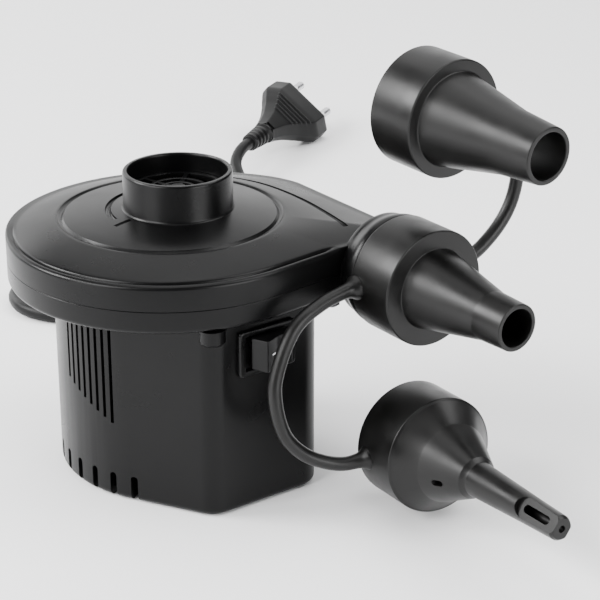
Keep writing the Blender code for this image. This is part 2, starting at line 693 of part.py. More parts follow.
def build_fans():
    build_wheel("impeller", "nylon", IMPELLER_R, (68.2 * MM, 69.6 * MM), 76.6 * MM, 5.5 * MM,
                (66.3 * MM, 77.0 * MM), 8, -0.75, 13 * MM, 2.0 * MM)
    build_wheel("cooling_fan", "nylon", 22.0 * MM, (9.6 * MM, 10.6 * MM), 12.4 * MM, 4.4 * MM,
                (6.0 * MM, 12.2 * MM), 8, -0.5, 8 * MM, 0.0)
    bm = bmesh.new()
    tube(bm, 4.0 * MM, 2.5 * MM, 77.4 * MM, 79.4 * MM, 6)
    add_object("impeller_nut", bm, "brass")


def build_brushes():
    middle = 19.4 * MM
    for name, side in (("a", 1), ("b", -1)):
        place = Matrix.Translation((0, 0, middle)) @ Matrix.Rotation(math.pi / 2 * side, 4, "Y")
        outer = rounded_rectangle(6.4 * MM, 7.4 * MM, 0.6 * MM, 1)
        inner = rounded_rectangle(4.4 * MM, 5.4 * MM, 0.4 * MM, 1)
        z0, z1 = 10.0 * MM, 24.6 * MM
        bm = bmesh.new()
        loft(bm, [flat_ring(outer, z0), flat_ring(outer, z1), flat_ring(inner, z1), flat_ring(inner, z0)],
             closed=True, matrix=place)
        add_object("brush_holder_" + name, bm, "brass")
        bm = bmesh.new()
        prism(bm, rounded_rectangle(3.6 * MM, 4.6 * MM, 0.3 * MM, 1), 8.9 * MM, 17.0 * MM, place)
        add_object("carbon_brush_" + name, bm, "carbon")
        turns, steps = 5, 6
        helix = []
        for i in range(turns * steps + 1):
            a = 2 * math.pi * i / steps
            spot = Vector((1.4 * MM * math.cos(a), 1.4 * MM * math.sin(a),
                           (17.5 + 6.6 * i / (turns * steps)) * MM))
            helix.append(place @ spot)
        cable("brush_spring_" + name, helix, 0.4 * MM, "steel", 0)


# ---------------------------------------------------------------- switch and wiring

def build_switch():
    front = FLAT_X + BEZEL_T
    place = Matrix.Translation((0, 0, SWITCH_Z)) @ Matrix.Rotation(math.pi / 2, 4, "Z") @ Matrix.Rotation(
        math.pi / 2, 4, "X")
    bm = bmesh.new()
    outline = rounded_rectangle(SWITCH_W, SWITCH_H, 0.8 * MM, 2)
    prism(bm, outline, FLAT_X - SWITCH_DEPTH, FLAT_X + 0.9 * MM, place)
    body = add_object("switch_body", bm, "gloss")
    bm = bmesh.new()
    loft(bm, [flat_ring(rounded_rectangle(BEZEL_W, BEZEL_H, 1.2 * MM, 2), FLAT_X + GAP),
              flat_ring(rounded_rectangle(BEZEL_W, BEZEL_H, 1.2 * MM, 2), front - 0.6 * MM),
              flat_ring(rounded_rectangle(BEZEL_W - 1.2 * MM, BEZEL_H - 1.2 * MM, 0.8 * MM, 2), front)],
         matrix=place)
    join(body, add_object("bezel", bm, "gloss"))
    bm = bmesh.new()
    box(bm, (FLAT_X - 7.0 * MM, -8.3 * MM, SWITCH_Z - 5.6 * MM), (front + MM, 8.3 * MM, SWITCH_Z + 5.6 * MM))
    cut(body, add_object("well", bm, "gloss"))
    build_rocker()
    for name, side in (("a", 1), ("b", -1)):
        bm = bmesh.new()
        box(bm, (FLAT_X - SWITCH_DEPTH - 8 * MM, side * 4.8 * MM - 0.4 * MM, SWITCH_Z - 2.4 * MM),
            (FLAT_X - SWITCH_DEPTH - GAP, side * 4.8 * MM + 0.4 * MM, SWITCH_Z + 2.4 * MM))
        add_object("switch_terminal_" + name, bm, "brass")


ROCKER_PIVOT_X = FLAT_X - 0.6 * MM
ROCKER_REST = 11.0                   # degrees: its near side stands out, and the far side is pressed in


def build_rocker():
    """Rocker with a shallow V face and slanted ends, tilted about its upright pivot."""
    ridge, valley, foot = (7.0 * MM, 5.5 * MM), 6.0 * MM, (1.6 * MM, 6.95 * MM)
    half, depth = 7.3 * MM, 3.0 * MM
    belly = []
    for i in range(7):
        a = math.radians(-62 + 124 * i / 6)
        belly.append((-depth * math.cos(a) + 1.2 * MM, half * math.sin(a) * 1.02))
    face = [foot, ridge, (valley, 0), (ridge[0], -ridge[1]), (foot[0], -foot[1])]
    outline = face + belly[1:-1]
    tilt = Matrix.Rotation(math.radians(ROCKER_REST), 4, "Z")
    place = Matrix.Translation((ROCKER_PIVOT_X, 0, 0)) @ tilt
    bm = bmesh.new()
    prism(bm, outline, SWITCH_Z - 5.2 * MM, SWITCH_Z + 5.2 * MM, place)
    obj = add_object("switch_rocker", bm, "gloss")
    pivot = Vector((ROCKER_PIVOT_X, 0, SWITCH_Z))
    obj.data.transform(Matrix.Translation(-pivot))
    obj.location = pivot


def build_wiring():
    bm = bmesh.new()
    prism(bm, rounded_rectangle(5.0 * MM, 11.0 * MM, 0.8 * MM, 2, (-32.0 * MM, 5.0 * MM)), 24 * MM, 36 * MM)
    add_object("suppression_capacitor", bm, "yellow")
    leads = {
        "lead_live": ("brown", 24, ((-25.7, 10.9, 12), (-23, 14.6, 9.4), (-17, 19.6, 7), (-8, 23.6, 6.5),
                                    (8, 23.6, 6.5), (22, 17, 10), (30, 14, 20), (31.5, 11.5, 30), (31.5, 8.5, 39),
                                    (30.5, 6, 45.4), (29.5, 4.8, 50.6))),
        "lead_neutral": ("blue", 8, ((-26.0, 8.5, 12), (-25.1, 7.0, 12.8), (-25.3, 4.0, 15.6), (-25.9, 0.6, 19.2))),
        "lead_motor": ("red", 14, ((29.5, -4.8, 50.6), (30.5, -6, 45.4), (31.5, -8, 38), (31.5, -6, 28),
                                   (29.6, -2.2, 21.6), (26.0, 0, 19.4))),
    }
    for name, (finish, count, route) in leads.items():
        points = smooth_path([(x * MM, y * MM, z * MM) for x, y, z in route], count)
        cable(name, points, 1.7 * MM, finish, 1)
    bm = bmesh.new()
    profile = [(CORD_D / 2 + GAP, 35.5 * MM), (5.6 * MM, 35.5 * MM), (5.6 * MM, 38.0 * MM), (3.95 * MM, 38.2 * MM),
               (3.95 * MM, 41.0 * MM), (5.6 * MM, 41.2 * MM), (5.2 * MM, 46.0 * MM), (4.1 * MM, GROMMET_END),
               (CORD_D / 2 + GAP, GROMMET_END)]
    turned(bm, profile, 20, cord_exit())
    add_object("cord_grommet", bm, "cord")
    saddle = [(-7.0, -9.2), (-3.1, -9.2), (-3.1, 3.1), (3.1, 3.1), (3.1, -9.2), (7.0, -9.2), (7.0, 2.6), (4.6, 5.6),
              (-4.6, 5.6), (-7.0, 2.6)]
    bm = bmesh.new()
    prism(bm, [(-z * MM, y * MM) for y, z in saddle], 30.2 * MM, 34.4 * MM, cord_exit())
    add_object("cord_clamp", bm, "shell")


# ---------------------------------------------------------------- nozzles and straps

def nozzle(name, point, yaw, pitch, stages, sides=28):
    """Soft nozzle along its own axis from the cup's open end. Stages are (z, outer, inner)."""
    lip = 0.5 * MM
    outer = [(CUP_R - lip, 0.0), (CUP_R, lip), (CUP_R, CUP_LEN - 0.5 * MM), (CUP_R - 0.5 * MM, CUP_LEN)]
    outer += [(ro, z) for z, ro, ri in stages]
    inner = [(ri, z) for z, ro, ri in reversed(stages) if ri]
    inner += [(CUP_BORE - 4.0 * MM, CUP_LEN - 2.0 * MM), (CUP_BORE, CUP_LEN - 2.0 * MM), (CUP_BORE, 0.0)]
    bm = bmesh.new()
    turned(bm, outer + inner, sides, along_x(point, yaw, pitch))
    return add_object(name, bm, "soft")


MEDIUM_AT = Vector((CUP_BACK, OUT_Y, OUT_Z))
LARGE_AT = Vector((49.0 * MM, 56.3 * MM, 121.1 * MM))
LARGE_TURN = (2.5, -2.2)
SMALL_AT = Vector((70.2 * MM, 38.4 * MM, 20.6 * MM))
SMALL_TURN = (-5.9, 3.6)


def stage_list(rows):
    return [tuple(v * MM if v else 0 for v in row) for row in rows]


def build_nozzles():
    nozzle("nozzle_medium", MEDIUM_AT, 0, 0, stage_list([
        (17.5, 13.0, 0), (18.1, 12.6, 0), (20.4, 12.2, 9.6), (37.6, 8.9, 7.2), (41.2, 8.2, 6.8),
        (43.4, 7.75, 6.5), (55.0, 7.4, 5.8)]))
    nozzle("nozzle_large", LARGE_AT, *LARGE_TURN, stage_list([
        (17.5, 15.2, 0), (18.3, 14.6, 0), (21.4, 14.0, 12.2), (42.0, 10.1, 8.5), (57.0, 8.9, 7.0)]))
    small = nozzle("nozzle_small", SMALL_AT, *SMALL_TURN, stage_list([
        (18.6, 17.2, 0), (23.0, 13.6, 0), (24.6, 12.6, 9.0), (37.5, 6.6, 3.2), (38.6, 5.45, 2.6),
        (77.2, 3.8, 1.9), (78.6, 3.0, 1.9)]))
    place = along_x(SMALL_AT, *SMALL_TURN)
    bm = bmesh.new()
    box(bm, (-6 * MM, -1.1 * MM, 63.5 * MM), (6 * MM, 1.1 * MM, 74.5 * MM),
        place @ Matrix.Rotation(math.radians(55), 4, "Z"))
    cut(small, add_object("side_slot", bm, "soft"))


STRAP_D = 4.4 * MM
SMALL_STRAP = ((57.4, 26.5, 69.9), (57.4, 21.5, 69.4), (57.5, 14.0, 67.8), (58.3, 4.9, 64.3),
               (59.2, -0.7, 58.6), (60.0, -4.9, 50.2), (61.0, -6.4, 44.3), (62.5, -6.0, 36.4),
               (64.0, -3.8, 29.6), (66.0, 1.2, 23.8), (68.2, 7.4, 20.3), (70.4, 13.0, 18.9),
               (72.2, 18.4, 19.4))
LARGE_STRAP = ((61.0, 64.5, 70.2), (61.0, 68.6, 70.8), (61.0, 74.6, 73.4), (61.0, 81.8, 79.0),
               (61.0, 86.6, 85.6), (61.0, 88.9, 93.4), (60.4, 89.4, 101.0), (59.4, 87.4, 109.0),
               (58.4, 83.4, 115.8), (58.0, 79.6, 118.8), (57.8, 76.4, 120.2))


def strap(name, route):
    """Moulded strap. Its first end is a ball on the hinge point, clear of the root boss."""
    points = smooth_path([Vector(p) * MM for p in route], 26)
    radius = STRAP_D / 2
    heading = (points[1] - points[0]).normalized()
    ball = [points[0] + heading * radius * (1 - math.cos(math.radians(a))) for a in (0, 40, 65, 90)]
    rest = [p for p in points[1:] if (p - points[0]).length > radius * 1.3]
    obj = cable(name, ball + rest, STRAP_D, "soft", 2)
    for point, a in zip(obj.data.splines[0].points, (12, 40, 65, 90)):
        point.radius = math.sin(math.radians(a))
    return obj


def build_straps():
    strap("tether_small", SMALL_STRAP)
    strap("tether_large", LARGE_STRAP)


# ---------------------------------------------------------------- mains lead

CORD_ROUTE = ((-26.9, 9.8, 12.0), (-37.6, 13.7, 12.0), (-47.0, 17.1, 12.0), (-56.4, 20.5, 12.0),
              (-66.7, 24.3, 12.0), (-75.4, 27.4, 9.6), (-82.0, 29.3, 6.0), (-89.2, 30.8, 3.6),
              (-97.5, 31.3, 2.75), (-106.6, 28.5, 2.75), (-113.3, 22.5, 2.75), (-118.4, 16.6, 2.75),
              (-125.6, 12.6, 2.75), (-134.4, 11.5, 2.75),
              (-144.9, 15.3, 2.75), (-152.1, 23.9, 2.75), (-154.0, 34.9, 2.75), (-151.0, 44.4, 2.75),
              (-144.4, 54.6, 2.75), (-137.4, 65.4, 2.75), (-130.4, 76.2, 2.75), (-123.6, 86.9, 2.75))
TAIL_ROUTE = ((-149.0, 147.8, 2.75), (-163.0, 151.5, 2.75), (-177.0, 155.2, 3.0), (-190.0, 158.6, 4.6),
              (-199.0, 161.2, 6.8), (-209.2, 166.0, 10.0), (-217.0, 174.7, 12.7), (-222.4, 183.9, 13.1))


def build_cord():
    cable("power_cord", smooth_path([Vector(p) * MM for p in CORD_ROUTE], 30), CORD_D, "cord")
    bm = bmesh.new()
    inner, outer = COIL_R - COIL_W / 2, COIL_R + COIL_W / 2
    place = Matrix.Translation((*COIL_C, 0))
    turned(bm, [(inner, 0.4 * MM), (inner + 1.5 * MM, 0.05 * MM), (outer - 1.5 * MM, 0.05 * MM), (outer, 0.4 * MM),
                (outer, COIL_H - 2 * MM), (outer - 3 * MM, COIL_H), (inner + 3 * MM, COIL_H),
                (inner, COIL_H - 2 * MM)], 40, place)
    add_object("cord_coil", bm, "cord")
    cable("cord_tail", smooth_path([Vector(p) * MM for p in TAIL_ROUTE], 12), CORD_D, "cord")


def plug_matrix():
    """Plug frame: +Z out of the pin face, +X along the pins' spacing, +Y out of the ribbed face."""
    forward = Vector((*PLUG_DIR, 0)).normalized()
    level = Vector((forward.y, -forward.x, 0))
    turn = Matrix.Rotation(math.radians(PLUG_ROLL), 3, forward)
    across, out = turn @ -level, turn @ Vector((0, 0, 1))
    frame = Matrix((across, out, forward)).transposed().to_4x4()
    return Matrix.Translation(PLUG_FACE) @ frame


def plug_section(width, thickness, bevel, z):
    """Flattened hexagonal section of the plug at one depth."""
    half, thin = width / 2, thickness / 2
    return [(half, 0.35 * thin, z), (half - bevel, thin, z), (-half + bevel, thin, z), (-half, 0.35 * thin, z),
            (-half, -0.35 * thin, z), (-half + bevel, -thin, z), (half - bevel, -thin, z), (half, -0.35 * thin, z)]


def build_plug():
    place = plug_matrix()
    rows = ((0.0, 34.0, 12.6, 5.4), (-1.0, 35.3, 13.7, 5.8), (-12.0, 35.3, 13.7, 5.8), (-18.0, 30.0, 13.2, 5.0),
            (-25.0, 22.6, 12.4, 4.2), (-33.0, 16.0, 11.4, 3.6), (-42.0, 11.4, 10.0, 3.0), (-46.0, 10.4, 9.6, 2.8),
            (-62.0, 7.6, 7.6, 2.2))
    bm = bmesh.new()
    loft(bm, [plug_section(w * MM, t * MM, b * MM, z * MM) for z, w, t, b in rows], matrix=place)
    body = add_object("plug_body", bm, "cord")
    bm = bmesh.new()
    for side in (-1, 1):
        cylinder(bm, 2.2 * MM, -6 * MM, MM, 16, (side * PIN_SPACING / 2, 0), place)
    cylinder(bm, CORD_D / 2 + GAP, -(PLUG_LEN + MM), -(PLUG_LEN - 3 * MM), 12, matrix=place)
    cut(body, add_object("holes", bm, "cord"))
    for name, side in (("a", 1), ("b", -1)):
        stand = place @ Matrix.Translation((side * PIN_SPACING / 2, 0, 0))
        bm = bmesh.new()
        tube(bm, 1.9 * MM, 1.55 * MM, -5.5 * MM, 10.0 * MM, 16, matrix=stand)
        add_object("pin_sleeve_" + name, bm, "white")
        bm = bmesh.new()
        turned(bm, [(1.2 * MM, -5.4 * MM), (1.2 * MM, 10.3 * MM), (2.0 * MM, 10.3 * MM),
                    (2.0 * MM, PIN_LEN - 1.2 * MM), (1.2 * MM, PIN_LEN)], 16, stand, closed=False)
        add_object("plug_pin_" + name, bm, "steel")


def main():
    clear_scene()
    build_housing()
    build_base()
    build_cover()
    build_guard()
    build_screws()
    build_field()
    build_bridges()
    build_rotor()
    build_fans()
    build_brushes()
    build_switch()
    build_wiring()
    build_nozzles()
    build_straps()
    build_cord()
    build_plug()


main()
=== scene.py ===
"""Looks of the electric air mattress pump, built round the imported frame."""
import json
import math

import bmesh
import bpy
from mathutils import Matrix, Vector


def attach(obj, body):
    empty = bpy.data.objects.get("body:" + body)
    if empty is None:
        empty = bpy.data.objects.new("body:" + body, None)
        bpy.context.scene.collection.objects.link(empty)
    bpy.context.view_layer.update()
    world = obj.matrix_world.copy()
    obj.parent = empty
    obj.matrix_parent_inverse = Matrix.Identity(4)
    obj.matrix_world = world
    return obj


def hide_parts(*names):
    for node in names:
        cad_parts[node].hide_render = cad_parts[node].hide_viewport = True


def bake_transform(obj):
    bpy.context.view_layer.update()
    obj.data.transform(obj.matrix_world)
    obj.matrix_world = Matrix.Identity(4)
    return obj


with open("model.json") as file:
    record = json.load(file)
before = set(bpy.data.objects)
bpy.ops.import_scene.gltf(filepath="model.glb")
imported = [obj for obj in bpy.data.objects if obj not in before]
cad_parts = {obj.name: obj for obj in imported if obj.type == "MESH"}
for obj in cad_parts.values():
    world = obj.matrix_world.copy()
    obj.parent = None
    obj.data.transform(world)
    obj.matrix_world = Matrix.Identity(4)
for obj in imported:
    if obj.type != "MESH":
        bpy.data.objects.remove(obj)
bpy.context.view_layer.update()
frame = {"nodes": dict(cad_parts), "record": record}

MM = 0.001
SMOOTH = 32.0  # degrees: a sharper edge is shaded as an edge


# ------------------------------------------------------------------ camera, light, floor

LENS_MM, SENSOR_MM = 114.7, 36.0
CAMERA_AT = (483.5, -309.6, 293.6)
VIEW_AZIMUTH, VIEW_ELEVATION = math.radians(53.5), math.radians(22.77)
VIEW_RIGHT, VIEW_AWAY = (0.595, 0.804, 0), (-0.804, 0.595, 0)
LIT_POINT = (0, 0, 0.06)
FLOOR_HALF, FLOOR_Z = 3.0, -0.0002


def make_camera():
    data = bpy.data.cameras.new("camera")
    data.lens = LENS_MM
    data.sensor_width = SENSOR_MM
    data.clip_start = 0.01
    obj = bpy.data.objects.new("camera", data)
    bpy.context.collection.objects.link(obj)
    level_part = math.cos(VIEW_ELEVATION)
    back = Vector((math.sin(VIEW_AZIMUTH) * level_part, -math.cos(VIEW_AZIMUTH) * level_part,
                   math.sin(VIEW_ELEVATION)))
    right = Vector((math.cos(VIEW_AZIMUTH), math.sin(VIEW_AZIMUTH), 0.0))
    up = back.cross(right)
    turn = Matrix((right, up, back)).transposed().to_4x4()
    obj.matrix_world = Matrix.Translation(Vector(CAMERA_AT) * MM) @ turn
    bpy.context.scene.camera = obj


def area_light(name, place, target, width, height, power):
    data = bpy.data.lights.new(name, "AREA")
    data.shape = "RECTANGLE"
    data.size = width
    data.size_y = height
    data.energy = power
    obj = bpy.data.objects.new(name, data)
    bpy.context.collection.objects.link(obj)
    obj.location = place
    obj.rotation_euler = (Vector(target) - Vector(place)).to_track_quat("-Z", "Y").to_euler()
    obj.visible_camera = False


# Metres to the right of the view, away from the camera and up, then width, height and power.
SOFT_BOXES = {
    "left_box": (-1.1, 0.0, 0.75, 0.6, 0.5, 29),
    "left_front_box": (-0.8, -0.7, 0.8, 0.6, 0.5, 15),
    "left_front_low": (-0.95, -0.75, 0.3, 0.7, 0.55, 6),
    "left_back_box": (-0.9, 0.9, 0.45, 0.8, 0.7, 8),
    "right_box": (1.0, 0.0, 1.2, 0.9, 0.9, 17),
    "right_front_box": (0.9, -0.8, 0.35, 0.7, 0.6, 12),
    "back_box": (0.0, 1.4, 0.5, 1.6, 0.9, 9),
    "top_back_box": (0.0, 0.9, 1.3, 1.2, 0.8, 6),
    "top_box": (0.0, 0.0, 1.6, 1.2, 1.2, 14),
}


def make_studio():
    """White floor between soft boxes: the key is on the left, and the room itself is dim."""
    world = bpy.data.worlds.new("studio")
    bpy.context.scene.world = world
    world.use_nodes = True
    back = world.node_tree.nodes["Background"]
    back.inputs["Color"].default_value = (0.97, 0.98, 1.0, 1)
    back.inputs["Strength"].default_value = 0.2
    right, away, up = Vector(VIEW_RIGHT), Vector(VIEW_AWAY), Vector((0, 0, 1))
    for name, (x, y, z, width, height, power) in SOFT_BOXES.items():
        area_light(name, right * x + away * y + up * z, LIT_POINT, width, height, power)
    floor = quad_plane("floor", FLOOR_HALF, FLOOR_Z)
    mat = bpy.data.materials.new("floor_white")
    mat.use_nodes = True
    shader = mat.node_tree.nodes["Principled BSDF"]
    shader.inputs["Base Color"].default_value = (0.95, 0.95, 0.955, 1)
    shader.inputs["Roughness"].default_value = 0.6
    floor.data.materials.append(mat)


def quad_plane(name, half, z):
    mesh = bpy.data.meshes.new(name)
    corners = [(x * half, y * half, z) for x, y in ((-1, -1), (1, -1), (1, 1), (-1, 1))]
    mesh.from_pydata(corners, [], [(0, 1, 2, 3)])
    obj = bpy.data.objects.new(name, mesh)
    bpy.context.collection.objects.link(obj)
    return obj


# ------------------------------------------------------------------ materials

def new_material(name, color, roughness, metallic=0.0, coat=0.0, specular=0.5):
    mat = bpy.data.materials.new(name)
    mat.use_nodes = True
    shader = mat.node_tree.nodes["Principled BSDF"]
    shader.inputs["Base Color"].default_value = (*color, 1)
    shader.inputs["Roughness"].default_value = roughness
    shader.inputs["Metallic"].default_value = metallic
    shader.inputs["Specular IOR Level"].default_value = specular
    if coat:
        shader.inputs["Coat Weight"].default_value = coat
        shader.inputs["Coat Roughness"].default_value = 0.12
    return mat


def node(mat, kind, **values):
    made = mat.node_tree.nodes.new(kind)
    for key, value in values.items():
        if key in made.inputs:
            made.inputs[key].default_value = value
        else:
            setattr(made, key, value)
    return made


def textured(name, color, rough, grain_mm=0.35, grain=0.05, blotch_mm=18.0, rough_swing=0.08,
             color_swing=0.25, metallic=0.0, coat=0.0, specular=0.5, scratch=0.0):
    """Moulded or metal surface: fine grain in the bump, slow changes of gloss and shade, a few scuffs."""
    mat = new_material(name, color, rough, metallic, coat, specular)
    tree = mat.node_tree
    link = tree.links.new
    shader = tree.nodes["Principled BSDF"]
    place = node(mat, "ShaderNodeTexCoord")
    fine = node(mat, "ShaderNodeTexNoise", Scale=1.0 / (grain_mm * MM), Detail=3.0, Roughness=0.6)
    slow = node(mat, "ShaderNodeTexNoise", Scale=1.0 / (blotch_mm * MM), Detail=4.0, Roughness=0.55)
    link(place.outputs["Object"], fine.inputs["Vector"])
    link(place.outputs["Object"], slow.inputs["Vector"])
    spread = node(mat, "ShaderNodeMapRange")
    spread.inputs["From Min"].default_value = 0.3
    spread.inputs["From Max"].default_value = 0.7
    spread.inputs["To Min"].default_value = max(rough - rough_swing, 0.03)
    spread.inputs["To Max"].default_value = min(rough + rough_swing, 1.0)
    link(slow.outputs["Fac"], spread.inputs["Value"])
    link(spread.outputs["Result"], shader.inputs["Roughness"])
    shade = node(mat, "ShaderNodeValToRGB")
    low = tuple(c * (1 - color_swing) for c in color)
    high = tuple(min(c * (1 + color_swing), 1) for c in color)
    shade.color_ramp.elements[0].position = 0.3
    shade.color_ramp.elements[0].color = (*low, 1)
    shade.color_ramp.elements[1].position = 0.7
    shade.color_ramp.elements[1].color = (*high, 1)
    link(slow.outputs["Fac"], shade.inputs["Fac"])
    link(shade.outputs["Color"], shader.inputs["Base Color"])
    bump = node(mat, "ShaderNodeBump", Strength=grain, Distance=0.1 * MM)
    link(fine.outputs["Fac"], bump.inputs["Height"])
    if scratch:
        lines = node(mat, "ShaderNodeTexNoise", Scale=1.0 / (4.0 * MM), Detail=2.0, Roughness=0.5)
        stretch = node(mat, "ShaderNodeMapping")
        stretch.inputs["Scale"].default_value = (1.0, 0.06, 1.0)
        stretch.inputs["Rotation"].default_value = (0.3, 0.5, 0.7)
        link(place.outputs["Object"], stretch.inputs["Vector"])
        link(stretch.outputs["Vector"], lines.inputs["Vector"])
        marks = node(mat, "ShaderNodeBump", Strength=scratch, Distance=0.05 * MM)
        link(lines.outputs["Fac"], marks.inputs["Height"])
        link(bump.outputs["Normal"], marks.inputs["Normal"])
        bump = marks
    link(bump.outputs["Normal"], shader.inputs["Normal"])
    return mat


SHELL = textured("shell_plastic", (0.0019, 0.0019, 0.0020), 0.30, 0.30, 0.16, 22.0, 0.04, 0.15,
                 specular=0.155)
GLOSS = textured("gloss_plastic", (0.020, 0.020, 0.021), 0.20, 0.8, 0.04, 15.0, 0.05, 0.15, coat=0.2,
                 scratch=0.05)
SOFT = textured("soft_pvc", (0.0027, 0.0026, 0.0025), 0.37, 0.9, 0.05, 11.0, 0.07, 0.3, specular=0.27)
CORD = textured("cord_pvc", (0.0026, 0.0026, 0.0027), 0.42, 0.5, 0.08, 20.0, 0.05, 0.2, specular=0.18)
SWITCH = textured("switch_nylon", (0.0022, 0.0022, 0.0023), 0.30, 0.4, 0.06, 9.0, 0.05, 0.15, specular=0.18)
STEEL = textured("steel_plated", (0.60, 0.60, 0.62), 0.28, 0.5, 0.06, 6.0, 0.08, 0.1, metallic=1.0,
                 scratch=0.1)
BLACKENED = textured("blackened_steel", (0.045, 0.045, 0.048), 0.38, 0.5, 0.08, 4.0, 0.08, 0.2, metallic=1.0)
IRON = textured("laminated_steel", (0.36, 0.36, 0.38), 0.45, 0.4, 0.12, 6.0, 0.1, 0.2, metallic=1.0,
                scratch=0.2)
ALLOY = textured("cast_alloy", (0.52, 0.52, 0.53), 0.52, 0.5, 0.2, 8.0, 0.1, 0.15, metallic=1.0)
COPPER = textured("enamelled_copper", (0.68, 0.28, 0.12), 0.30, 0.5, 0.15, 5.0, 0.1, 0.25, metallic=1.0,
                  coat=0.3)
BRASS = textured("brass", (0.74, 0.55, 0.26), 0.28, 0.5, 0.08, 6.0, 0.08, 0.15, metallic=1.0)
BRONZE = textured("sintered_bronze", (0.42, 0.28, 0.15), 0.55, 0.25, 0.3, 4.0, 0.1, 0.25, metallic=1.0)
CARBON = textured("carbon", (0.035, 0.035, 0.038), 0.62, 0.3, 0.2, 4.0, 0.08, 0.3)
NYLON = textured("nylon", (0.68, 0.66, 0.60), 0.42, 0.5, 0.08, 12.0, 0.06, 0.08)
WHITE = textured("white_nylon", (0.80, 0.80, 0.79), 0.36, 0.5, 0.06, 8.0, 0.05, 0.04)
RUBBER = textured("rubber", (0.025, 0.025, 0.025), 0.75, 0.4, 0.2, 5.0, 0.08, 0.2)
YELLOW = textured("yellow_film", (0.72, 0.48, 0.06), 0.38, 0.6, 0.08, 8.0, 0.06, 0.1)
BLUE = textured("blue_pvc", (0.04, 0.13, 0.45), 0.40, 0.5, 0.08, 8.0, 0.06, 0.15)
BROWN = textured("brown_pvc", (0.20, 0.09, 0.04), 0.40, 0.5, 0.08, 8.0, 0.06, 0.15)
RED = textured("red_pvc", (0.45, 0.035, 0.025), 0.40, 0.5, 0.08, 8.0, 0.06, 0.15)
MARK = textured("white_mark", (0.75, 0.76, 0.78), 0.5, 0.3, 0.05, 2.0, 0.05, 0.05)

CAD_FINISH = {
    "steel": STEEL, "lamination": IRON, "alloy": ALLOY, "copper": COPPER, "brass": BRASS, "bronze": BRONZE,
    "carbon": CARBON, "nylon": NYLON, "white": WHITE, "rubber": RUBBER, "yellow": YELLOW, "blue": BLUE,
    "brown": BROWN, "red": RED, "shell": SHELL, "gloss": GLOSS, "soft": SOFT, "cord": CORD,
}


def finish_cad_nodes():
    """Every CAD node gets its slot's detailed material. The replaced ones are hidden anyway."""
    slots = {entry["node"]: entry["material_slot"] for entry in frame["record"]["subparts"]}
    for name, obj in frame["nodes"].items():
        if not obj.material_slots:
            obj.data.materials.append(None)
        for own in obj.material_slots:
            own.material = BLACKENED if name.startswith("volute_screw") else CAD_FINISH[slots[name]]


# ------------------------------------------------------------------ mesh tools (all in millimetres)

def solid(name, verts, faces, mat, angle=SMOOTH):
    mesh = bpy.data.meshes.new(name)
    mesh.from_pydata([tuple(c * MM for c in v) for v in verts], [], faces)
    mesh.validate()
    obj = bpy.data.objects.new(name, mesh)
    bpy.context.collection.objects.link(obj)
    mesh.materials.append(mat)
    tidy(obj, angle)
    return obj


def tidy(obj, angle=SMOOTH):
    """Outward normals, and smooth shading broken at the sharp edges."""
    bm = bmesh.new()
    bm.from_mesh(obj.data)
    bmesh.ops.recalc_face_normals(bm, faces=bm.faces)
    bm.to_mesh(obj.data)
    bm.free()
    obj.data.shade_smooth()
    obj.data.set_sharp_from_angle(angle=math.radians(angle))


def skin(rings, closed=False, matrix=None):
    """Verts and faces of a body lofted through rings of points."""
    verts, faces = [], []
    count = len(rings[0])
    for ring in rings:
        for p in ring:
            verts.append(tuple(matrix @ Vector(p)) if matrix else tuple(p))
    last = len(rings) if closed else len(rings) - 1
    for i in range(last):
        a, b = i * count, ((i + 1) % len(rings)) * count
        for j in range(count):
            k = (j + 1) % count
            faces.append((a + j, a + k, b + k, b + j))
    if not closed:
        faces.append(tuple(reversed(range(count))))
        faces.append(tuple(range((len(rings) - 1) * count, len(rings) * count)))
    return verts, faces


def lofted(name, rings, mat, closed=False, matrix=None, angle=SMOOTH):
    return solid(name, *skin(rings, closed, matrix), mat, angle)


def fillet(points, radius, steps=4):
    """Rounds the corners of an outline. A third number on a point is that corner's own radius."""
    out = []
    n = len(points)
    for i, point in enumerate(points):
        p = Vector(point[:2])
        r = point[2] if len(point) > 2 else radius
        if r <= 0:
            out.append(tuple(p))
            continue
        a, b = Vector(points[i - 1][:2]) - p, Vector(points[(i + 1) % n][:2]) - p
        turn = a.angle(b, math.pi)
        if turn > math.radians(172) or a.length < 1e-6 or b.length < 1e-6:
            out.append(tuple(p))
            continue
        reach = min(r / math.tan(turn / 2), a.length * 0.48, b.length * 0.48)
        start, end = p + a.normalized() * reach, p + b.normalized() * reach
        for k in range(steps + 1):
            t = k / steps
            out.append(tuple(start * (1 - t) ** 2 + p * 2 * t * (1 - t) + end * t ** 2))
    return out


def ring(radius, z, count):
    step = 2 * math.pi / count
    return [(radius * math.cos(step * i), radius * math.sin(step * i), z) for i in range(count)]


def turned(name, profile, mat, matrix=None, count=96, closed=True, angle=SMOOTH):
    return lofted(name, [ring(max(r, 0.01), z, count) for r, z in profile], mat, closed, matrix, angle)


def along_x(point, yaw, pitch):
    """Stands an upright body on a point with its axis along X, turned left and tipped up by degrees."""
    turn = Matrix.Rotation(math.radians(yaw), 4, "Z")
    tilt = Matrix.Rotation(-math.radians(pitch), 4, "Y")
    return Matrix.Translation(point) @ turn @ tilt @ Matrix.Rotation(math.pi / 2, 4, "Y")


def block(name, low, high, mat=None, matrix=None):
    outline = [(low[0], low[1]), (high[0], low[1]), (high[0], high[1]), (low[0], high[1])]
    rings = [[(x, y, low[2]) for x, y in outline], [(x, y, high[2]) for x, y in outline]]
    return lofted(name, rings, mat or SHELL, matrix=matrix)


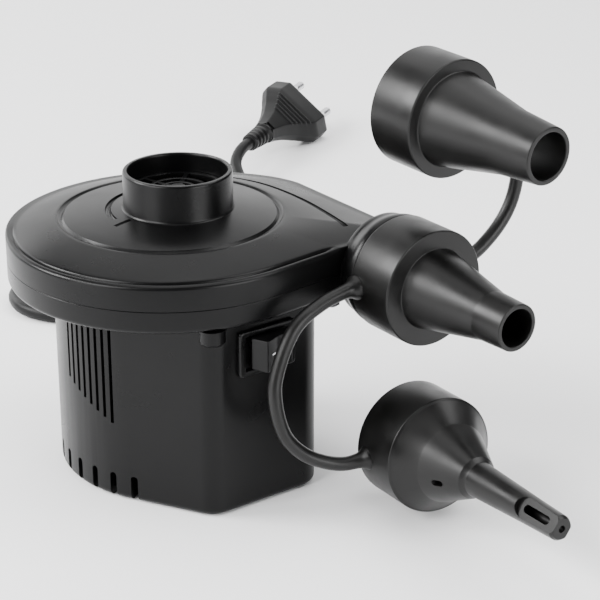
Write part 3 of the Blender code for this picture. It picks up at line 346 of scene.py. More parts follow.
def combine(target, cutter):
    """Cuts one body out of another, and removes the cutter."""
    modifier = target.modifiers.new("combine", "BOOLEAN")
    modifier.operation = "DIFFERENCE"
    modifier.solver = "EXACT"
    modifier.object = cutter
    bpy.context.view_layer.update()
    made = bpy.data.meshes.new_from_object(target.evaluated_get(bpy.context.evaluated_depsgraph_get()))
    target.modifiers.remove(modifier)
    old, target.data = target.data, made
    bpy.data.meshes.remove(old)
    bpy.data.objects.remove(cutter, do_unlink=True)
    tidy(target)


def merged(name, objects):
    """Several separate bodies as one object."""
    bm = bmesh.new()
    mats = []
    for obj in objects:
        start = len(bm.faces)
        bm.from_mesh(obj.data)
        bm.faces.ensure_lookup_table()
        for face in bm.faces[start:]:
            mat = obj.data.materials[min(face.material_index, len(obj.data.materials) - 1)]
            if mat not in mats:
                mats.append(mat)
            face.material_index = mats.index(mat)
    mesh = bpy.data.meshes.new(name)
    bm.to_mesh(mesh)
    bm.free()
    for mat in mats:
        mesh.materials.append(mat)
    for obj in objects:
        bpy.data.objects.remove(obj, do_unlink=True)
    made = bpy.data.objects.new(name, mesh)
    bpy.context.collection.objects.link(made)
    made.data.shade_smooth()
    made.data.set_sharp_from_angle(angle=math.radians(SMOOTH))
    return made


def smooth_path(points, count=None, spacing=None):
    """Evenly spaced points on a Catmull-Rom curve through the given ones."""
    pts = [Vector(p) for p in points]
    ends = [2 * pts[0] - pts[1]] + pts + [2 * pts[-1] - pts[-2]]
    fine = []
    for a, b, c, d in zip(ends, ends[1:], ends[2:], ends[3:]):
        for i in range(24):
            t = i / 24
            fine.append(0.5 * (2 * b + (c - a) * t + (2 * a - 5 * b + 4 * c - d) * t * t
                               + (3 * b - a - 3 * c + d) * t ** 3))
    fine.append(pts[-1])
    travelled = [0.0]
    for p, q in zip(fine, fine[1:]):
        travelled.append(travelled[-1] + (q - p).length)
    if count is None:
        count = max(int(travelled[-1] / spacing) + 1, 3)
    result, k = [], 0
    for i in range(count):
        goal = travelled[-1] * i / (count - 1)
        while k < len(fine) - 2 and travelled[k + 1] < goal:
            k += 1
        span = max(travelled[k + 1] - travelled[k], 1e-9)
        result.append(fine[k].lerp(fine[k + 1], (goal - travelled[k]) / span))
    return result


def swept(name, points, radius, mat, sides=20):
    """A tube along points. radius is one number or one for each point."""
    pts = [Vector(p) for p in points]
    radii = radius if hasattr(radius, "__len__") else [radius] * len(pts)
    tangents = []
    for i in range(len(pts)):
        tangents.append((pts[min(i + 1, len(pts) - 1)] - pts[max(i - 1, 0)]).normalized())
    side = tangents[0].orthogonal().normalized()
    rings = []
    for p, t, r in zip(pts, tangents, radii):
        side = (side - t * side.dot(t)).normalized()
        other = t.cross(side)
        rings.append([p + (side * math.cos(2 * math.pi * k / sides) * r
                           + other * math.sin(2 * math.pi * k / sides) * r) for k in range(sides)])
    return lofted(name, rings, mat, angle=40.0)


# ------------------------------------------------------------------ mains lead (its route repeats the CAD's)

CORD_D = 5.4
CORD_R = CORD_D / 2
CORD_ANGLE = 160.0
CORD_EXIT_Z = 12.0
COIL_C = Vector((-159.5, 107.7, 0))
CORD_ROUTE = ((-66.7, 24.3, 12.0), (-75.4, 27.4, 9.6), (-82.0, 29.3, 6.0), (-89.2, 30.8, 3.6),
              (-97.5, 31.3, 2.75), (-106.6, 28.5, 2.75), (-113.3, 22.5, 2.75), (-118.4, 16.6, 2.75),
              (-125.6, 12.6, 2.75), (-134.4, 11.5, 2.75), (-144.9, 15.3, 2.75), (-152.1, 23.9, 2.75),
              (-154.0, 34.9, 2.75), (-151.0, 44.4, 2.75), (-144.4, 54.6, 2.75), (-137.4, 65.4, 2.75),
              (-130.4, 76.2, 2.75))
TAIL_ROUTE = ((-163.0, 151.5, 2.75), (-177.0, 155.2, 3.0), (-190.0, 158.6, 4.6), (-199.0, 161.2, 6.8),
              (-209.2, 166.0, 10.0), (-217.0, 174.7, 12.7), (-222.4, 183.9, 13.1))


def coil_point(degrees, radius, z):
    a = math.radians(degrees)
    return COIL_C + Vector((radius * math.cos(a), radius * math.sin(a), z))


def coil_points():
    """Three turns inwards on the floor, then two outwards on top of them."""
    low, high, step = 2.75, 8.3, 20
    points = []
    total_low, total_high = 3 * 360, 2 * 360 + 105
    for i in range(0, total_low, step):
        t = i / total_low
        points.append(coil_point(-30 + i, 41.0 - 5.4 * min(i / 60, 1) - 11.4 * t, low))
    base = -30 + total_low
    for i in range(0, total_high + 1, step):
        t = i / total_high
        rise = min(i / 70, 1)
        lift = (high - low) * rise * rise * (3 - 2 * rise)
        points.append(coil_point(base + i, 24.4 + 11.4 * t, low + lift))
    return points


def make_cord():
    route = [Vector(p) for p in CORD_ROUTE] + coil_points() + [Vector(p) for p in TAIL_ROUTE]
    points = [Vector((p.x, p.y, max(p.z, CORD_R + 0.02))) for p in smooth_path(route, spacing=4.0)]
    length = sum((q - p).length for p, q in zip(points, points[1:]))
    curve = bpy.data.curves.new("mains_lead", "CURVE")
    curve.dimensions = "3D"
    curve.bevel_depth = CORD_R * MM
    curve.bevel_resolution = 5
    curve.use_fill_caps = True
    spline = curve.splines.new("POLY")
    spline.points.add(len(points) - 1)
    for target, p in zip(spline.points, points):
        target.co = (*(p * MM), 1)
    spline.use_smooth = True
    curve.materials.append(CORD)
    obj = bpy.data.objects.new("mains_lead", curve)
    bpy.context.collection.objects.link(obj)
    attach(obj, "pump_body")
    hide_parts("power_cord", "cord_coil", "cord_tail")
    return obj, length


# ------------------------------------------------------------------ motor housing

HOUSE_R, HOUSE_TOP, HOUSE_WALL = 40.7, 63.3, 2.2
FLAT_X, CORNER_R, CORNER_Y = 47.0, 8.0, 15.0
SWITCH_Z = 53.5
FOOT_ROUND = 2.2
FLARE_FROM, FLARE_TO = 40.35, 41.4
SLOT_FIRST, SLOT_STEP, SLOT_TOP = 66.0, 4.0, 60.0
VENT_FIRST, VENT_STEP, VENT_R = 56.0, 10.8, 1.1
BOSS_AT = (44.6, -17.7)


def housing_outline(inset=0.0):
    """Round shell with a flat at +X: a band round one big and two small circles."""
    cx, cy = FLAT_X - CORNER_R, CORNER_Y
    touch = math.atan2(cy, cx) + math.acos((HOUSE_R - CORNER_R) / math.hypot(cx, cy))
    points = []
    for i in range(13):
        a = touch * i / 12
        points.append((cx + (CORNER_R - inset) * math.cos(a), cy + (CORNER_R - inset) * math.sin(a)))
    for i in range(141):
        a = touch + (2 * math.pi - 2 * touch) * i / 140
        points.append(((HOUSE_R - inset) * math.cos(a), (HOUSE_R - inset) * math.sin(a)))
    for i in range(13):
        a = -touch + touch * i / 12
        points.append((cx + (CORNER_R - inset) * math.cos(a), -cy + (CORNER_R - inset) * math.sin(a)))
    return points


def level(outline, z):
    return [(x, y, z) for x, y in outline]


def flared(outline, grow, turn, low=36.0):
    """Cutter through the wall whose mouth opens a little, so that the hole's edge is bevelled."""
    cx = sum(p[0] for p in outline) / len(outline)
    cz = sum(p[1] for p in outline) / len(outline)
    wide = []
    for x, z in outline:
        wide.append((x + math.copysign(grow, x - cx), z + math.copysign(grow, z - cz)))
    stand = turn @ Matrix.Rotation(math.pi / 2, 4, "Z") @ Matrix.Rotation(math.pi / 2, 4, "X")
    rings = [level(outline, low), level(outline, FLARE_FROM), level(wide, FLARE_TO)]
    return lofted("cutter", rings, SHELL, matrix=stand)


def make_housing():
    """Shell with cooling slots whose feet climb in steps, arched vents at its foot, and a corner boss."""
    r = FOOT_ROUND
    rings = []
    for k in range(7):
        a = math.radians(15 * k)
        rings.append(level(housing_outline(r - r * math.sin(a)), r - r * math.cos(a)))
    rings += [level(housing_outline(), HOUSE_TOP - 0.4), level(housing_outline(0.4), HOUSE_TOP),
              level(housing_outline(HOUSE_WALL), HOUSE_TOP), level(housing_outline(HOUSE_WALL), 2.4)]
    shell = lofted("motor_housing_shell", rings, SHELL)
    cutters = []
    for side in (1, -1):
        for i in range(8):
            turn = Matrix.Rotation(math.radians(side * (-SLOT_FIRST - SLOT_STEP * i)), 4, "Z")
            foot = 26.3 + 1.4 * i
            slot = [(-0.52, foot), (0.52, foot), (0.52, SLOT_TOP), (-0.52, SLOT_TOP)]
            cutters.append(flared(slot, 0.18, turn))
        for i in range(7):
            turn = Matrix.Rotation(math.radians(side * (-VENT_FIRST - VENT_STEP * i)), 4, "Z")
            arch = [(-VENT_R, -1.0), (VENT_R, -1.0)]
            for k in range(11):
                a = math.pi * k / 10
                arch.append((VENT_R * math.cos(a), 7.5 + VENT_R * math.sin(a)))
            cutters.append(flared(arch, 0.3, turn, 35.4))
    cutters.append(block("cutter", (40, -9.7, SWITCH_Z - 6.6), (50, 9.7, SWITCH_Z + 6.6)))
    cutters.append(turned("cutter", [(4.3, 36), (4.3, 44)], SHELL, cord_exit(), 32, closed=False))
    combine(shell, merged("cutters", cutters))
    parts = [shell]
    boss = [(0.02, 58.4), (3.3, 58.4), (4.1, 59.2), (4.1, 63.3)]
    place = Matrix.Translation((*BOSS_AT, 0))
    parts.append(turned("boss", boss, SHELL, place, 40, closed=False))
    # A thin disc in the dark rubber material under the boss is painted shade standing for a hole in its
    # underside; the boss itself is not drilled.
    hole = [(1.5, 58.3), (1.5, 58.5)]
    place = Matrix.Translation((*BOSS_AT, -0.02))
    parts.append(turned("boss_hole_shade", hole, RUBBER, place, 20, closed=False))
    made = merged("motor_housing_look", parts)
    return owned(made, "pump_body", "shell", "motor_housing")


def cord_exit():
    """Frame of the lead's exit: +Z points out of the housing."""
    place = Matrix.Translation((0, 0, CORD_EXIT_Z)) @ Matrix.Rotation(math.radians(CORD_ANGLE), 4, "Z")
    return place @ Matrix.Rotation(math.pi / 2, 4, "Y")


def owned(obj, body, slot, *nodes):
    """Gives a piece its body and hides the CAD nodes that it stands for. The slot argument is not used."""
    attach(obj, body)
    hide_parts(*nodes)
    return obj


# ------------------------------------------------------------------ blower casing

CASE_C, CASE_R = (-1.5, -2.1), 52.5
FOOT, SPLIT, EDGE, WALL = 63.6, 71.0, 79.2, 2.2
HALF_GAP = 0.04  # half of the parting line
BASE_ROUND = 1.8
MOUTH_X, MOUTH_Y = 47.8, (28.0, 54.8)
OUT_Y, OUT_Z, BORE = 45.5, 70.0, 14.6
DOME_R, COLLAR_R, COLLAR_FOOT, COLLAR_TOP = 35.2, 17.5, 85.7, 98.1
GROOVE_SINK = 0.12
ARC_R, ARC_FROM, ARC_TO, TICK_AT = 22.4, 172, 264, math.radians(275)
RIM_BOSSES = ((43.4, 28.4), (-23.5, 38.6), (-42.8, -13.8))


def case_radius(angle):
    """Distance from the casing's centre to its outline: a circle that opens to the mouth."""
    ux, uy = math.cos(angle), math.sin(angle)
    corner = (MOUTH_X - CASE_C[0], MOUTH_Y[0] - CASE_C[1])
    far_y = MOUTH_Y[1] - CASE_C[1]
    near = math.atan2(corner[1], corner[0])
    tangent = near - math.acos(CASE_R / math.hypot(*corner))
    far = math.atan2(far_y, corner[0])
    turn, round_again = math.radians(98), math.radians(140)
    if angle < tangent or angle > round_again:
        return CASE_R
    if angle < near:
        return CASE_R / math.cos(angle - tangent)
    if angle <= far:
        return corner[0] / ux
    if angle <= turn:
        return far_y / uy
    share = (angle - turn) / (round_again - turn)
    ease = 1 - share * share * (3 - 2 * share)
    return CASE_R + (far_y / math.sin(turn) - CASE_R) * ease


def case_angles():
    """Ring angles, closest together round the mouth, with its corners among them."""
    angles, a = [], 0.0
    while a < 359.0:
        angles.append(math.radians(a))
        a += 0.8 if 16 <= a < 86 else 2.4
    for y in MOUTH_Y:
        corner = math.atan2(y - CASE_C[1], MOUTH_X - CASE_C[0])
        nearest = min(range(len(angles)), key=lambda i: abs(angles[i] - corner))
        angles[nearest] = corner
    return angles


ANGLES = case_angles()


def case_ring(inset, z):
    """The casing's outline, moved in by inset."""
    out = []
    for a in ANGLES:
        r = case_radius(a) - inset
        out.append((CASE_C[0] + r * math.cos(a), CASE_C[1] + r * math.sin(a), z))
    return out


def axis_ring(radius, z, centre=(0, 0)):
    """A circle with a point at each of the casing's ring angles."""
    return [(centre[0] + radius * math.cos(a), centre[1] + radius * math.sin(a), z) for a in ANGLES]


def edge_fade(angle):
    """How far the bead and groove have gone at an angle: 1 along the mouth and the far side."""
    degrees = math.degrees(angle)
    return min(max((degrees - 28) / 4, 0), 1) * min(max((262 - degrees) / 27, 0), 1)


def edge_round(turn):
    """Ring of the cover's rounded top edge, which is sharper on the far side."""
    out = []
    for (x, y, _), (ux, uy, _), a in zip(case_ring(0, 0), case_ring(1, 0), ANGLES):
        fade = edge_fade(a)
        r = 1.4 - 0.8 * fade
        inset = r - r * math.cos(turn)
        out.append((x + (ux - x) * inset, y + (uy - y) * inset, EDGE + 0.4 * fade - r + r * math.sin(turn)))
    return out


def edge_ring(inset, z, plain):
    """Ring of the bead and groove, which fade into a plain edge round the far side."""
    return [(x, y, z + (plain - z) * edge_fade(a)) for (x, y, _), a in zip(case_ring(inset, 0), ANGLES)]


def top_rings():
    """The cover's top from its bead and groove at the edge, over the dome, to the collar's foot."""
    rings = []
    for inset, dz, plain in ((1.4, 0, 0.42), (1.75, -0.06, 0.44), (2.05, -0.5, 0.46), (2.3, -0.62, 0.48),
                             (2.5, -0.5, 0.5), (2.7, 0.1, 0.52), (2.95, 0.42, 0.55), (3.3, 0.6, 0.6)):
        rings.append(edge_ring(inset, EDGE + dz, EDGE + plain))
    steps = 20
    outer, inner = case_ring(3.3, EDGE + 0.6), axis_ring(DOME_R + 1.35, 83.36, CASE_C)
    for i in range(1, steps + 1):
        t = i / steps
        lift = t + 0.22 * t * (1 - t)
        rings.append([(p[0] + (q[0] - p[0]) * t, p[1] + (q[1] - p[1]) * t, p[2] + (q[2] - p[2]) * lift)
                      for p, q in zip(outer, inner)])
    for r, z in ((0.95, 83.33), (0.6, 82.95), (0.15, 82.72), (-0.45, 82.75), (-0.95, 83.2), (-1.25, 83.55),
                 (-1.75, 83.66)):
        rings.append(axis_ring(DOME_R + r, z, CASE_C))
    for t in (0.25, 0.5, 0.75, 1.0):
        r = DOME_R - 1.75 + (COLLAR_R + 1.3 - DOME_R + 1.75) * t
        centre = (CASE_C[0] * (1 - t), CASE_C[1] * (1 - t))
        rings.append(axis_ring(r, 83.68 + (COLLAR_FOOT - 83.68) * (t + 0.15 * t * (1 - t)), centre))
    return rings


def neck_half(name, upper):
    """Half of the outlet's tube, split on the casing's parting line. Its back is closed round the passage."""
    stations = [(46.35, 16.5, 3.0), (46.5, 16.8, 3.0), (46.85, 17.0, 3.0), (48.2, 17.0, 3.0),
                (48.25, 17.0, BORE)]
    for i in range(1, 9):
        share = i / 8
        stations.append((48.25 + 4.9 * share, 17.0 + 1.3 * share * share * (3 - 2 * share), BORE))
    stations += [(54.4, 18.3, BORE), (54.75, 18.15, BORE), (54.9, 17.8, BORE), (54.95, 16.6, BORE)]
    stations += [(66.3, 16.6, BORE), (66.8, 16.35, BORE), (67.0, 15.9, BORE + 0.3)]
    rings = []
    part = SPLIT - OUT_Z
    for x, outer, inner in stations:
        line = []
        for r, way in ((outer, 1), (inner, -1)):
            cut = math.asin((part + 0.03) / r) if upper else math.asin((part - 0.03) / r)
            low, high = (cut, math.pi - cut) if upper else (math.pi - cut, 2 * math.pi + cut)
            arc = [low + (high - low) * i / 48 for i in range(49)][::way]
            line += [(x, OUT_Y + r * math.cos(a), OUT_Z + r * math.sin(a)) for a in arc]
        rings.append(line)
    half = lofted(name, rings, SHELL)
    combine(half, passage_cutter())
    return half


def passage_cutter():
    """Cutter for the way from the casing into the outlet's tube, just inside the casing's walls."""
    near, far = MOUTH_Y[0] + 5.0, MOUTH_Y[1] - WALL - 0.1
    low, high = FOOT + WALL + 0.1, EDGE - 3.3
    outline = fillet([(near, low), (far, low), (far, high), (near, high)], 2.0)
    return lofted("passage", [[(x, y, z) for y, z in outline] for x in (43.0, 50.0)], SHELL)


def groove(points, radius):
    """Cutter for a groove along points on the cover's top."""
    return swept("groove", [(x, y, z - GROOVE_SINK) for x, y, z in points], radius, SHELL, sides=10)


def on_top(cover, points):
    """The given X, Y points dropped onto the cover's surface."""
    placed = []
    for x, y in points:
        hit, where, _, _ = cover.ray_cast(Vector((x, y, 110)) * MM, Vector((0, 0, -1)))
        if hit:
            placed.append(where / MM)
    return placed


def make_cover():
    """Upper half of the casing: its top, collar and inside as one loft, then the flow marks' grooves."""
    low = SPLIT + HALF_GAP
    bore = COLLAR_R - 1.7
    rings = [case_ring(0.12, low), case_ring(0.0, low + 0.12)]
    rings += [edge_round(math.radians(18 * k)) for k in range(6)] + top_rings()[1:]
    for r, z in ((0.55, 0.12), (0.2, 0.45), (0.04, 0.95)):
        rings.append(axis_ring(COLLAR_R + r, COLLAR_FOOT + z))
    rings += [axis_ring(COLLAR_R - 0.02, COLLAR_TOP - 0.75), axis_ring(COLLAR_R - 0.15, COLLAR_TOP - 0.3),
              axis_ring(COLLAR_R - 0.42, COLLAR_TOP - 0.05), axis_ring(COLLAR_R - 0.75, COLLAR_TOP),
              axis_ring(bore + 0.3, COLLAR_TOP - 0.02), axis_ring(bore + 0.05, COLLAR_TOP - 0.35),
              axis_ring(bore, COLLAR_TOP - 0.8), axis_ring(bore, COLLAR_FOOT - 2.6),
              axis_ring(DOME_R, 80.2, CASE_C), case_ring(WALL + 2.0, EDGE - 2.2), case_ring(WALL, EDGE - 3.2),
              case_ring(WALL, low)]
    cover = lofted("cover", rings, SHELL, closed=True)
    marks = []
    arrow = smooth_path([(-24.0, 32.6, 0), (-16.6, 36.6, 0), (-8.8, 39.4, 0), (0.8, 41.2, 0), (12.8, 41.6, 0),
                         (24.9, 40.4, 0), (37.2, 38.6, 0)], spacing=2.0)
    marks.append(groove(on_top(cover, [(p.x, p.y) for p in arrow]), 1.0))
    arc = [(ARC_R * math.cos(math.radians(a)), ARC_R * math.sin(math.radians(a)))
           for a in range(ARC_FROM, ARC_TO + 1, 4)]
    marks.append(groove(on_top(cover, arc), 1.0))
    tick = [(r * math.cos(TICK_AT), r * math.sin(TICK_AT)) for r in (25.0, 23.0, 21.0, 19.0)]
    marks.append(groove(on_top(cover, tick), 0.8))
    for mark in marks:
        combine(cover, mark)
    combine(cover, passage_cutter())
    made = merged("volute_cover_look", [cover, neck_half("neck_top", True)])
    return owned(made, "pump_body", "shell", "volute_cover")


def make_base():
    """Lower half of the casing, with its screw bosses."""
    top, r = SPLIT - HALF_GAP, BASE_ROUND
    rings = [case_ring(0.12, top), case_ring(0.0, top - 0.12)]
    for k in range(6):
        a = math.radians(18 * k)
        rings.append(case_ring(r - r * math.cos(a), FOOT + r - r * math.sin(a)))
    rings += [axis_ring(4.0, FOOT), axis_ring(4.0, FOOT + WALL), case_ring(WALL, FOOT + WALL),
              case_ring(WALL, top)]
    base = lofted("base", rings, SHELL, closed=True)
    combine(base, passage_cutter())
    parts = [base, neck_half("neck_bottom", False)]
    for x, y in RIM_BOSSES:
        profile = [(2.9, 60.6), (3.4, 61.1), (3.4, 66.0), (0.2, 66.0), (0.2, 60.6)]
        parts.append(turned("boss", profile, SHELL, Matrix.Translation((x, y, 0)), 32))
    made = merged("volute_base_look", parts)
    return owned(made, "pump_body", "shell", "volute_base")


def make_guard():
    """Inlet grille: rings and spokes round a hub, each edge rounded."""
    z0, z1 = 90.3, 92.1
    parts = []
    for outer, inner in ((15.5, 13.9), (9.6, 8.2), (5.9, 4.6)):
        profile = fillet([(outer, z0), (outer, z1), (inner, z1), (inner, z0)], 0.35, 2)
        parts.append(turned("ring", profile, SHELL, count=64))
    for i in range(6):
        turn = Matrix.Rotation(math.radians(60 * i + 15), 4, "Z")
        outline = fillet([(-0.8, z0 + 0.2), (0.8, z0 + 0.2), (0.8, z1 - 0.15), (-0.8, z1 - 0.15)], 0.3, 2)
        ends = [[(r, y, z) for y, z in outline] for r in (2.0, 14.4)]
        parts.append(lofted("spoke", ends, SHELL, matrix=turn))
    profile = [(2.3, z0), (2.6, z0 + 0.2), (2.6, z1 + 0.1), (2.2, z1 + 0.5), (0.05, z1 + 0.6)]
    parts.append(turned("hub", profile, SHELL, count=48, closed=False))
    return owned(merged("inlet_guard_look", parts), "pump_body", "shell", "inlet_guard")


# ------------------------------------------------------------------ switch

def rounded_box(width, height, radius):
    half_w, half_h = width / 2, height / 2
    return fillet([(-half_w, -half_h), (half_w, -half_h), (half_w, half_h), (-half_w, half_h)], radius)


ROCKER_REST = 11.0  # degrees that the near end stands out
RIDGE_X, RIDGE_Y, VALLEY_X = 7.0, 5.5, 6.0


def make_switch():
    """Bezel with a well for the rocker, and the switch's body behind it."""
    place = Matrix.Translation((0, 0, SWITCH_Z)) @ Matrix.Rotation(math.pi / 2, 4, "Z")
    place = place @ Matrix.Rotation(math.pi / 2, 4, "X")
    front = FLAT_X + 1.8
    well = (16.6, 11.2)
    rows = ((21.0, 15.0, FLAT_X + 0.05), (21.0, 15.0, front - 0.7), (20.7, 14.7, front - 0.28),
            (20.2, 14.2, front - 0.04), (19.7, 13.7, front), (well[0] + 0.9, well[1] + 0.9, front),
            (well[0] + 0.3, well[1] + 0.3, front - 0.15), (well[0], well[1], front - 0.6),
            (well[0], well[1], FLAT_X - 7.0))
    rings = [level(rounded_box(w, h, 1.2 if w > 18 else 0.5), z) for w, h, z in rows]
    bezel = lofted("bezel", rings, SWITCH, matrix=place)
    rings = [level(rounded_box(18.8, 12.6, 0.8), z) for z in (FLAT_X - 13.5, FLAT_X - 7.2)]
    body = lofted("body", rings, SWITCH, matrix=place)
    owned(merged("switch_body_look", [bezel, body]), "pump_body", "gloss", "switch_body")
    make_rocker()


def make_rocker():
    """Rocker with a shallow V face, slanted ends and rounded edges, its near end standing out."""
    outline = [(1.6, 6.95, 0.5), (RIDGE_X, RIDGE_Y, 0.4), (VALLEY_X, 0, 5.0), (RIDGE_X, -RIDGE_Y, 0.4),
               (1.6, -6.95, 0.5)]
    for i in range(1, 8):
        a = math.radians(-62 + 124 * i / 8)
        outline.append((-3.0 * math.cos(a) + 1.2, 7.4 * math.sin(a), 0.2))
    outline = fillet(outline, 0.4, 4)
    cx = 3.5
    rest = Matrix.Rotation(math.radians(ROCKER_REST), 4, "Z")
    place = Matrix.Translation((FLAT_X - 0.6, 0, SWITCH_Z)) @ rest
    rings = []
    for z, share in ((-5.2, 0.95), (-5.1, 0.975), (-4.85, 0.993), (-4.5, 1.0), (4.5, 1.0), (4.85, 0.993),
                     (5.1, 0.975), (5.2, 0.95)):
        rings.append([(cx + (x - cx) * share, y * share, z) for x, y in outline])
    rocker = lofted("rocker", rings, SWITCH, matrix=place, angle=28)
    dash = []
    for y in (-3.0, -0.4):
        x = VALLEY_X - (RIDGE_X - VALLEY_X) * y / RIDGE_Y
        dash.append([(x - 0.3, y, -0.24), (x + 0.06, y, -0.24), (x + 0.06, y, 0.24), (x - 0.3, y, 0.24)])
    mark = lofted("dash", dash, MARK, matrix=place)
    owned(merged("switch_rocker_look", [rocker, mark]), "rocker", "gloss", "switch_rocker")


# ------------------------------------------------------------------ nozzles and straps

CUP_R, CUP_BORE, CUP_LEN = 18.65, 16.95, 17.4
# Each nozzle: the middle of its open end, and its turn to the left and upwards in degrees.
MEDIUM = ((55.2, 45.5, 70.0), 0.0, 0.0)
LARGE = ((49.0, 56.3, 121.1), 2.5, -2.2)
SMALL = ((70.2, 38.4, 20.6), -5.9, 3.6)
STRAP_R, STRAP_FLARE, STRAP_STEP = 2.2, 1.7, 1.1
SLOT_SIDE, FAR_SIDE, VENT_SIDE = 235, 55, 281


def nozzle(name, where, outer, inner):
    """Soft nozzle turned about its axis from the cup's open end. Points are (radius, distance, corner)."""
    cup = [(CUP_BORE, 0.0, 0.5), (CUP_R, 0.0, 0.45), (CUP_R, CUP_LEN, 0.55)]
    hollow = [(CUP_BORE - 4.0, CUP_LEN - 2.0, 1.0), (CUP_BORE, CUP_LEN - 2.0, 0.8)]
    profile = fillet(cup + list(outer) + list(inner) + hollow, 0.4, 5)
    return turned(name, profile, SOFT, along_x(*where), 128, angle=38)


def make_nozzles():
    medium = nozzle("medium", MEDIUM, [(12.9, CUP_LEN, 0.35), (8.45, 40.4, 4.0), (7.8, 43.6, 3.0),
                                       (7.4, 55.0, 0.45)],
                    [(5.9, 55.0, 0.35), (6.5, 43.4, 1.0), (7.2, 37.6, 1.0), (9.8, 19.0, 1.5)])
    owned(renamed(medium, "nozzle_medium_look"), "nozzle_medium_body", "soft", "nozzle_medium")
    large = nozzle("large", LARGE, [(14.9, CUP_LEN, 0.5), (10.1, 42.0, 12.0), (8.85, 57.0, 0.5)],
                   [(7.2, 57.0, 0.4), (8.5, 42.0, 3.0), (12.2, 21.4, 1.5), (13.0, 16.6, 0.5)])
    owned(renamed(large, "nozzle_large_look"), "nozzle_large_body", "soft", "nozzle_large")
    stem = [(17.9, CUP_LEN + 0.5, 0.5), (16.6, 19.3, 2.5), (13.5, 23.2, 0.6), (12.7, 24.4, 0.8),
            (6.7, 37.3, 0.5), (6.1, 38.0, 0.3), (5.45, 38.9, 0.8), (4.25, 66.0, 0.5), (3.85, 77.5, 0.5),
            (3.2, 78.6, 0.3)]
    small = nozzle("small", SMALL, stem, [(1.0, 78.6, 0.2), (1.9, 76.0, 0.5), (2.6, 38.6, 1.5),
                                          (3.4, 36.0, 1.5), (9.0, 24.0, 1.5), (12.5, 20.4, 1.0)])
    place = along_x(*SMALL)
    for side in (SLOT_SIDE, FAR_SIDE):
        turn = place @ Matrix.Rotation(math.radians(side), 4, "Z")
        combine(small, capsule("face", turn, 61.6, 82.0, 3.3, 2.75, 8))
    turn = place @ Matrix.Rotation(math.radians(SLOT_SIDE), 4, "Z")
    combine(small, capsule("slot", turn, 64.0, 75.6, 1.3, 0.2, 6))
    vent_turn = place @ Matrix.Rotation(math.radians(VENT_SIDE), 4, "Z")
    combine(small, capsule("vent", vent_turn, 28.7, 32.3, 1.0, 5, 16))
    owned(renamed(small, "nozzle_small_look"), "nozzle_small_body", "soft", "nozzle_small")


def capsule(name, matrix, z0, z1, half, low, high):
    """Cutter with an oblong outline along the axis, reaching outwards from low to high."""
    outline = [(half * math.cos(math.radians(a)), z1 - half + half * math.sin(math.radians(a)))
               for a in range(0, 181, 15)]
    outline += [(half * math.cos(math.radians(a)), z0 + half + half * math.sin(math.radians(a)))
                for a in range(180, 361, 15)]
    return lofted(name, [[(x, y, z) for y, z in outline] for x in (low, high)], SOFT, matrix=matrix)


def renamed(obj, name):
    obj.name = name
    obj.data.name = name
    return obj


SMALL_STRAP = ((57.4, 27.5, 69.95), (57.4, 24.5, 69.7), (57.4, 21.5, 69.4), (57.5, 14.0, 67.8),
               (58.3, 4.9, 64.3), (59.2, -0.7, 58.6), (60.0, -4.9, 50.2), (61.0, -6.4, 44.3),
               (62.5, -6.0, 36.4), (64.0, -3.8, 29.6), (66.0, 1.2, 23.8), (68.2, 7.4, 20.3),
               (70.4, 13.0, 18.9), (72.2, 18.4, 19.4), (73.0, 20.9, 19.9))
LARGE_STRAP = ((61.0, 63.4, 70.1), (61.0, 66.0, 70.4), (61.0, 68.6, 70.8), (61.0, 74.6, 73.4),
               (61.0, 81.8, 79.0), (61.0, 86.6, 85.6), (61.0, 88.9, 93.4), (60.4, 89.4, 101.0),
               (59.4, 87.4, 109.0), (58.4, 83.4, 115.8), (58.0, 79.6, 118.8), (57.8, 76.4, 120.2),
               (57.5, 74.0, 121.0))


def strap(name, route):
    """Strap that widens at both roots and bends between the two nozzles' bodies."""
    points = smooth_path(route, spacing=STRAP_STEP)
    radii = []
    total = len(points) - 1
    for i in range(len(points)):
        near = min(i, total - i) * STRAP_STEP
        flare = math.exp(-max(near - 1.2, 0) / 1.3)
        radii.append(STRAP_R + STRAP_FLARE * flare)
    obj = swept(name + "_look", points, radii, SOFT, sides=28)
    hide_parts(name)
    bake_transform(obj)
    return obj


def make_straps():
    strap("tether_small", SMALL_STRAP)
    strap("tether_large", LARGE_STRAP)


# ------------------------------------------------------------------ strain relief and plug

def make_grommet():
    """Moulded strain relief, ribbed along its taper."""
    profile = [(2.6, 36.0), (5.6, 36.0), (5.6, 38.0), (4.0, 38.2), (4.0, 40.9), (5.9, 41.1), (6.1, 41.5),
               (6.1, 42.8), (5.7, 43.3)]
    z = 44.0
    while z < 69.0:
        outer = 5.3 - (z - 44.0) * 0.042
        profile += [(outer - 0.75, z), (outer - 0.75, z + 1.0), (outer, z + 1.15), (outer, z + 2.5)]
        z += 2.9
    profile += [(3.9, 70.6), (3.9, 71.4), (3.4, 72.0), (2.6, 72.0)]
    obj = turned("cord_grommet_look", profile, CORD, cord_exit(), 48, angle=28)
    return owned(obj, "pump_body", "cord", "cord_grommet")


PIN_SIDE = 9.3
PLUG_AT, PLUG_ROLL = (-252.8, 235.4, 13.1), 39.0


def plug_matrix():
    """Plug frame: +Z out of the pin face, +X along the pins' spacing, +Y out of the ribbed face."""
    forward = Vector((-0.508, 0.861, 0)).normalized()
    across_level = Vector((forward.y, -forward.x, 0))
    turn = Matrix.Rotation(math.radians(PLUG_ROLL), 3, forward)
    across, out = turn @ -across_level, turn @ Vector((0, 0, 1))
    frame_of = Matrix((across, out, forward)).transposed().to_4x4()
    return Matrix.Translation(PLUG_AT) @ frame_of


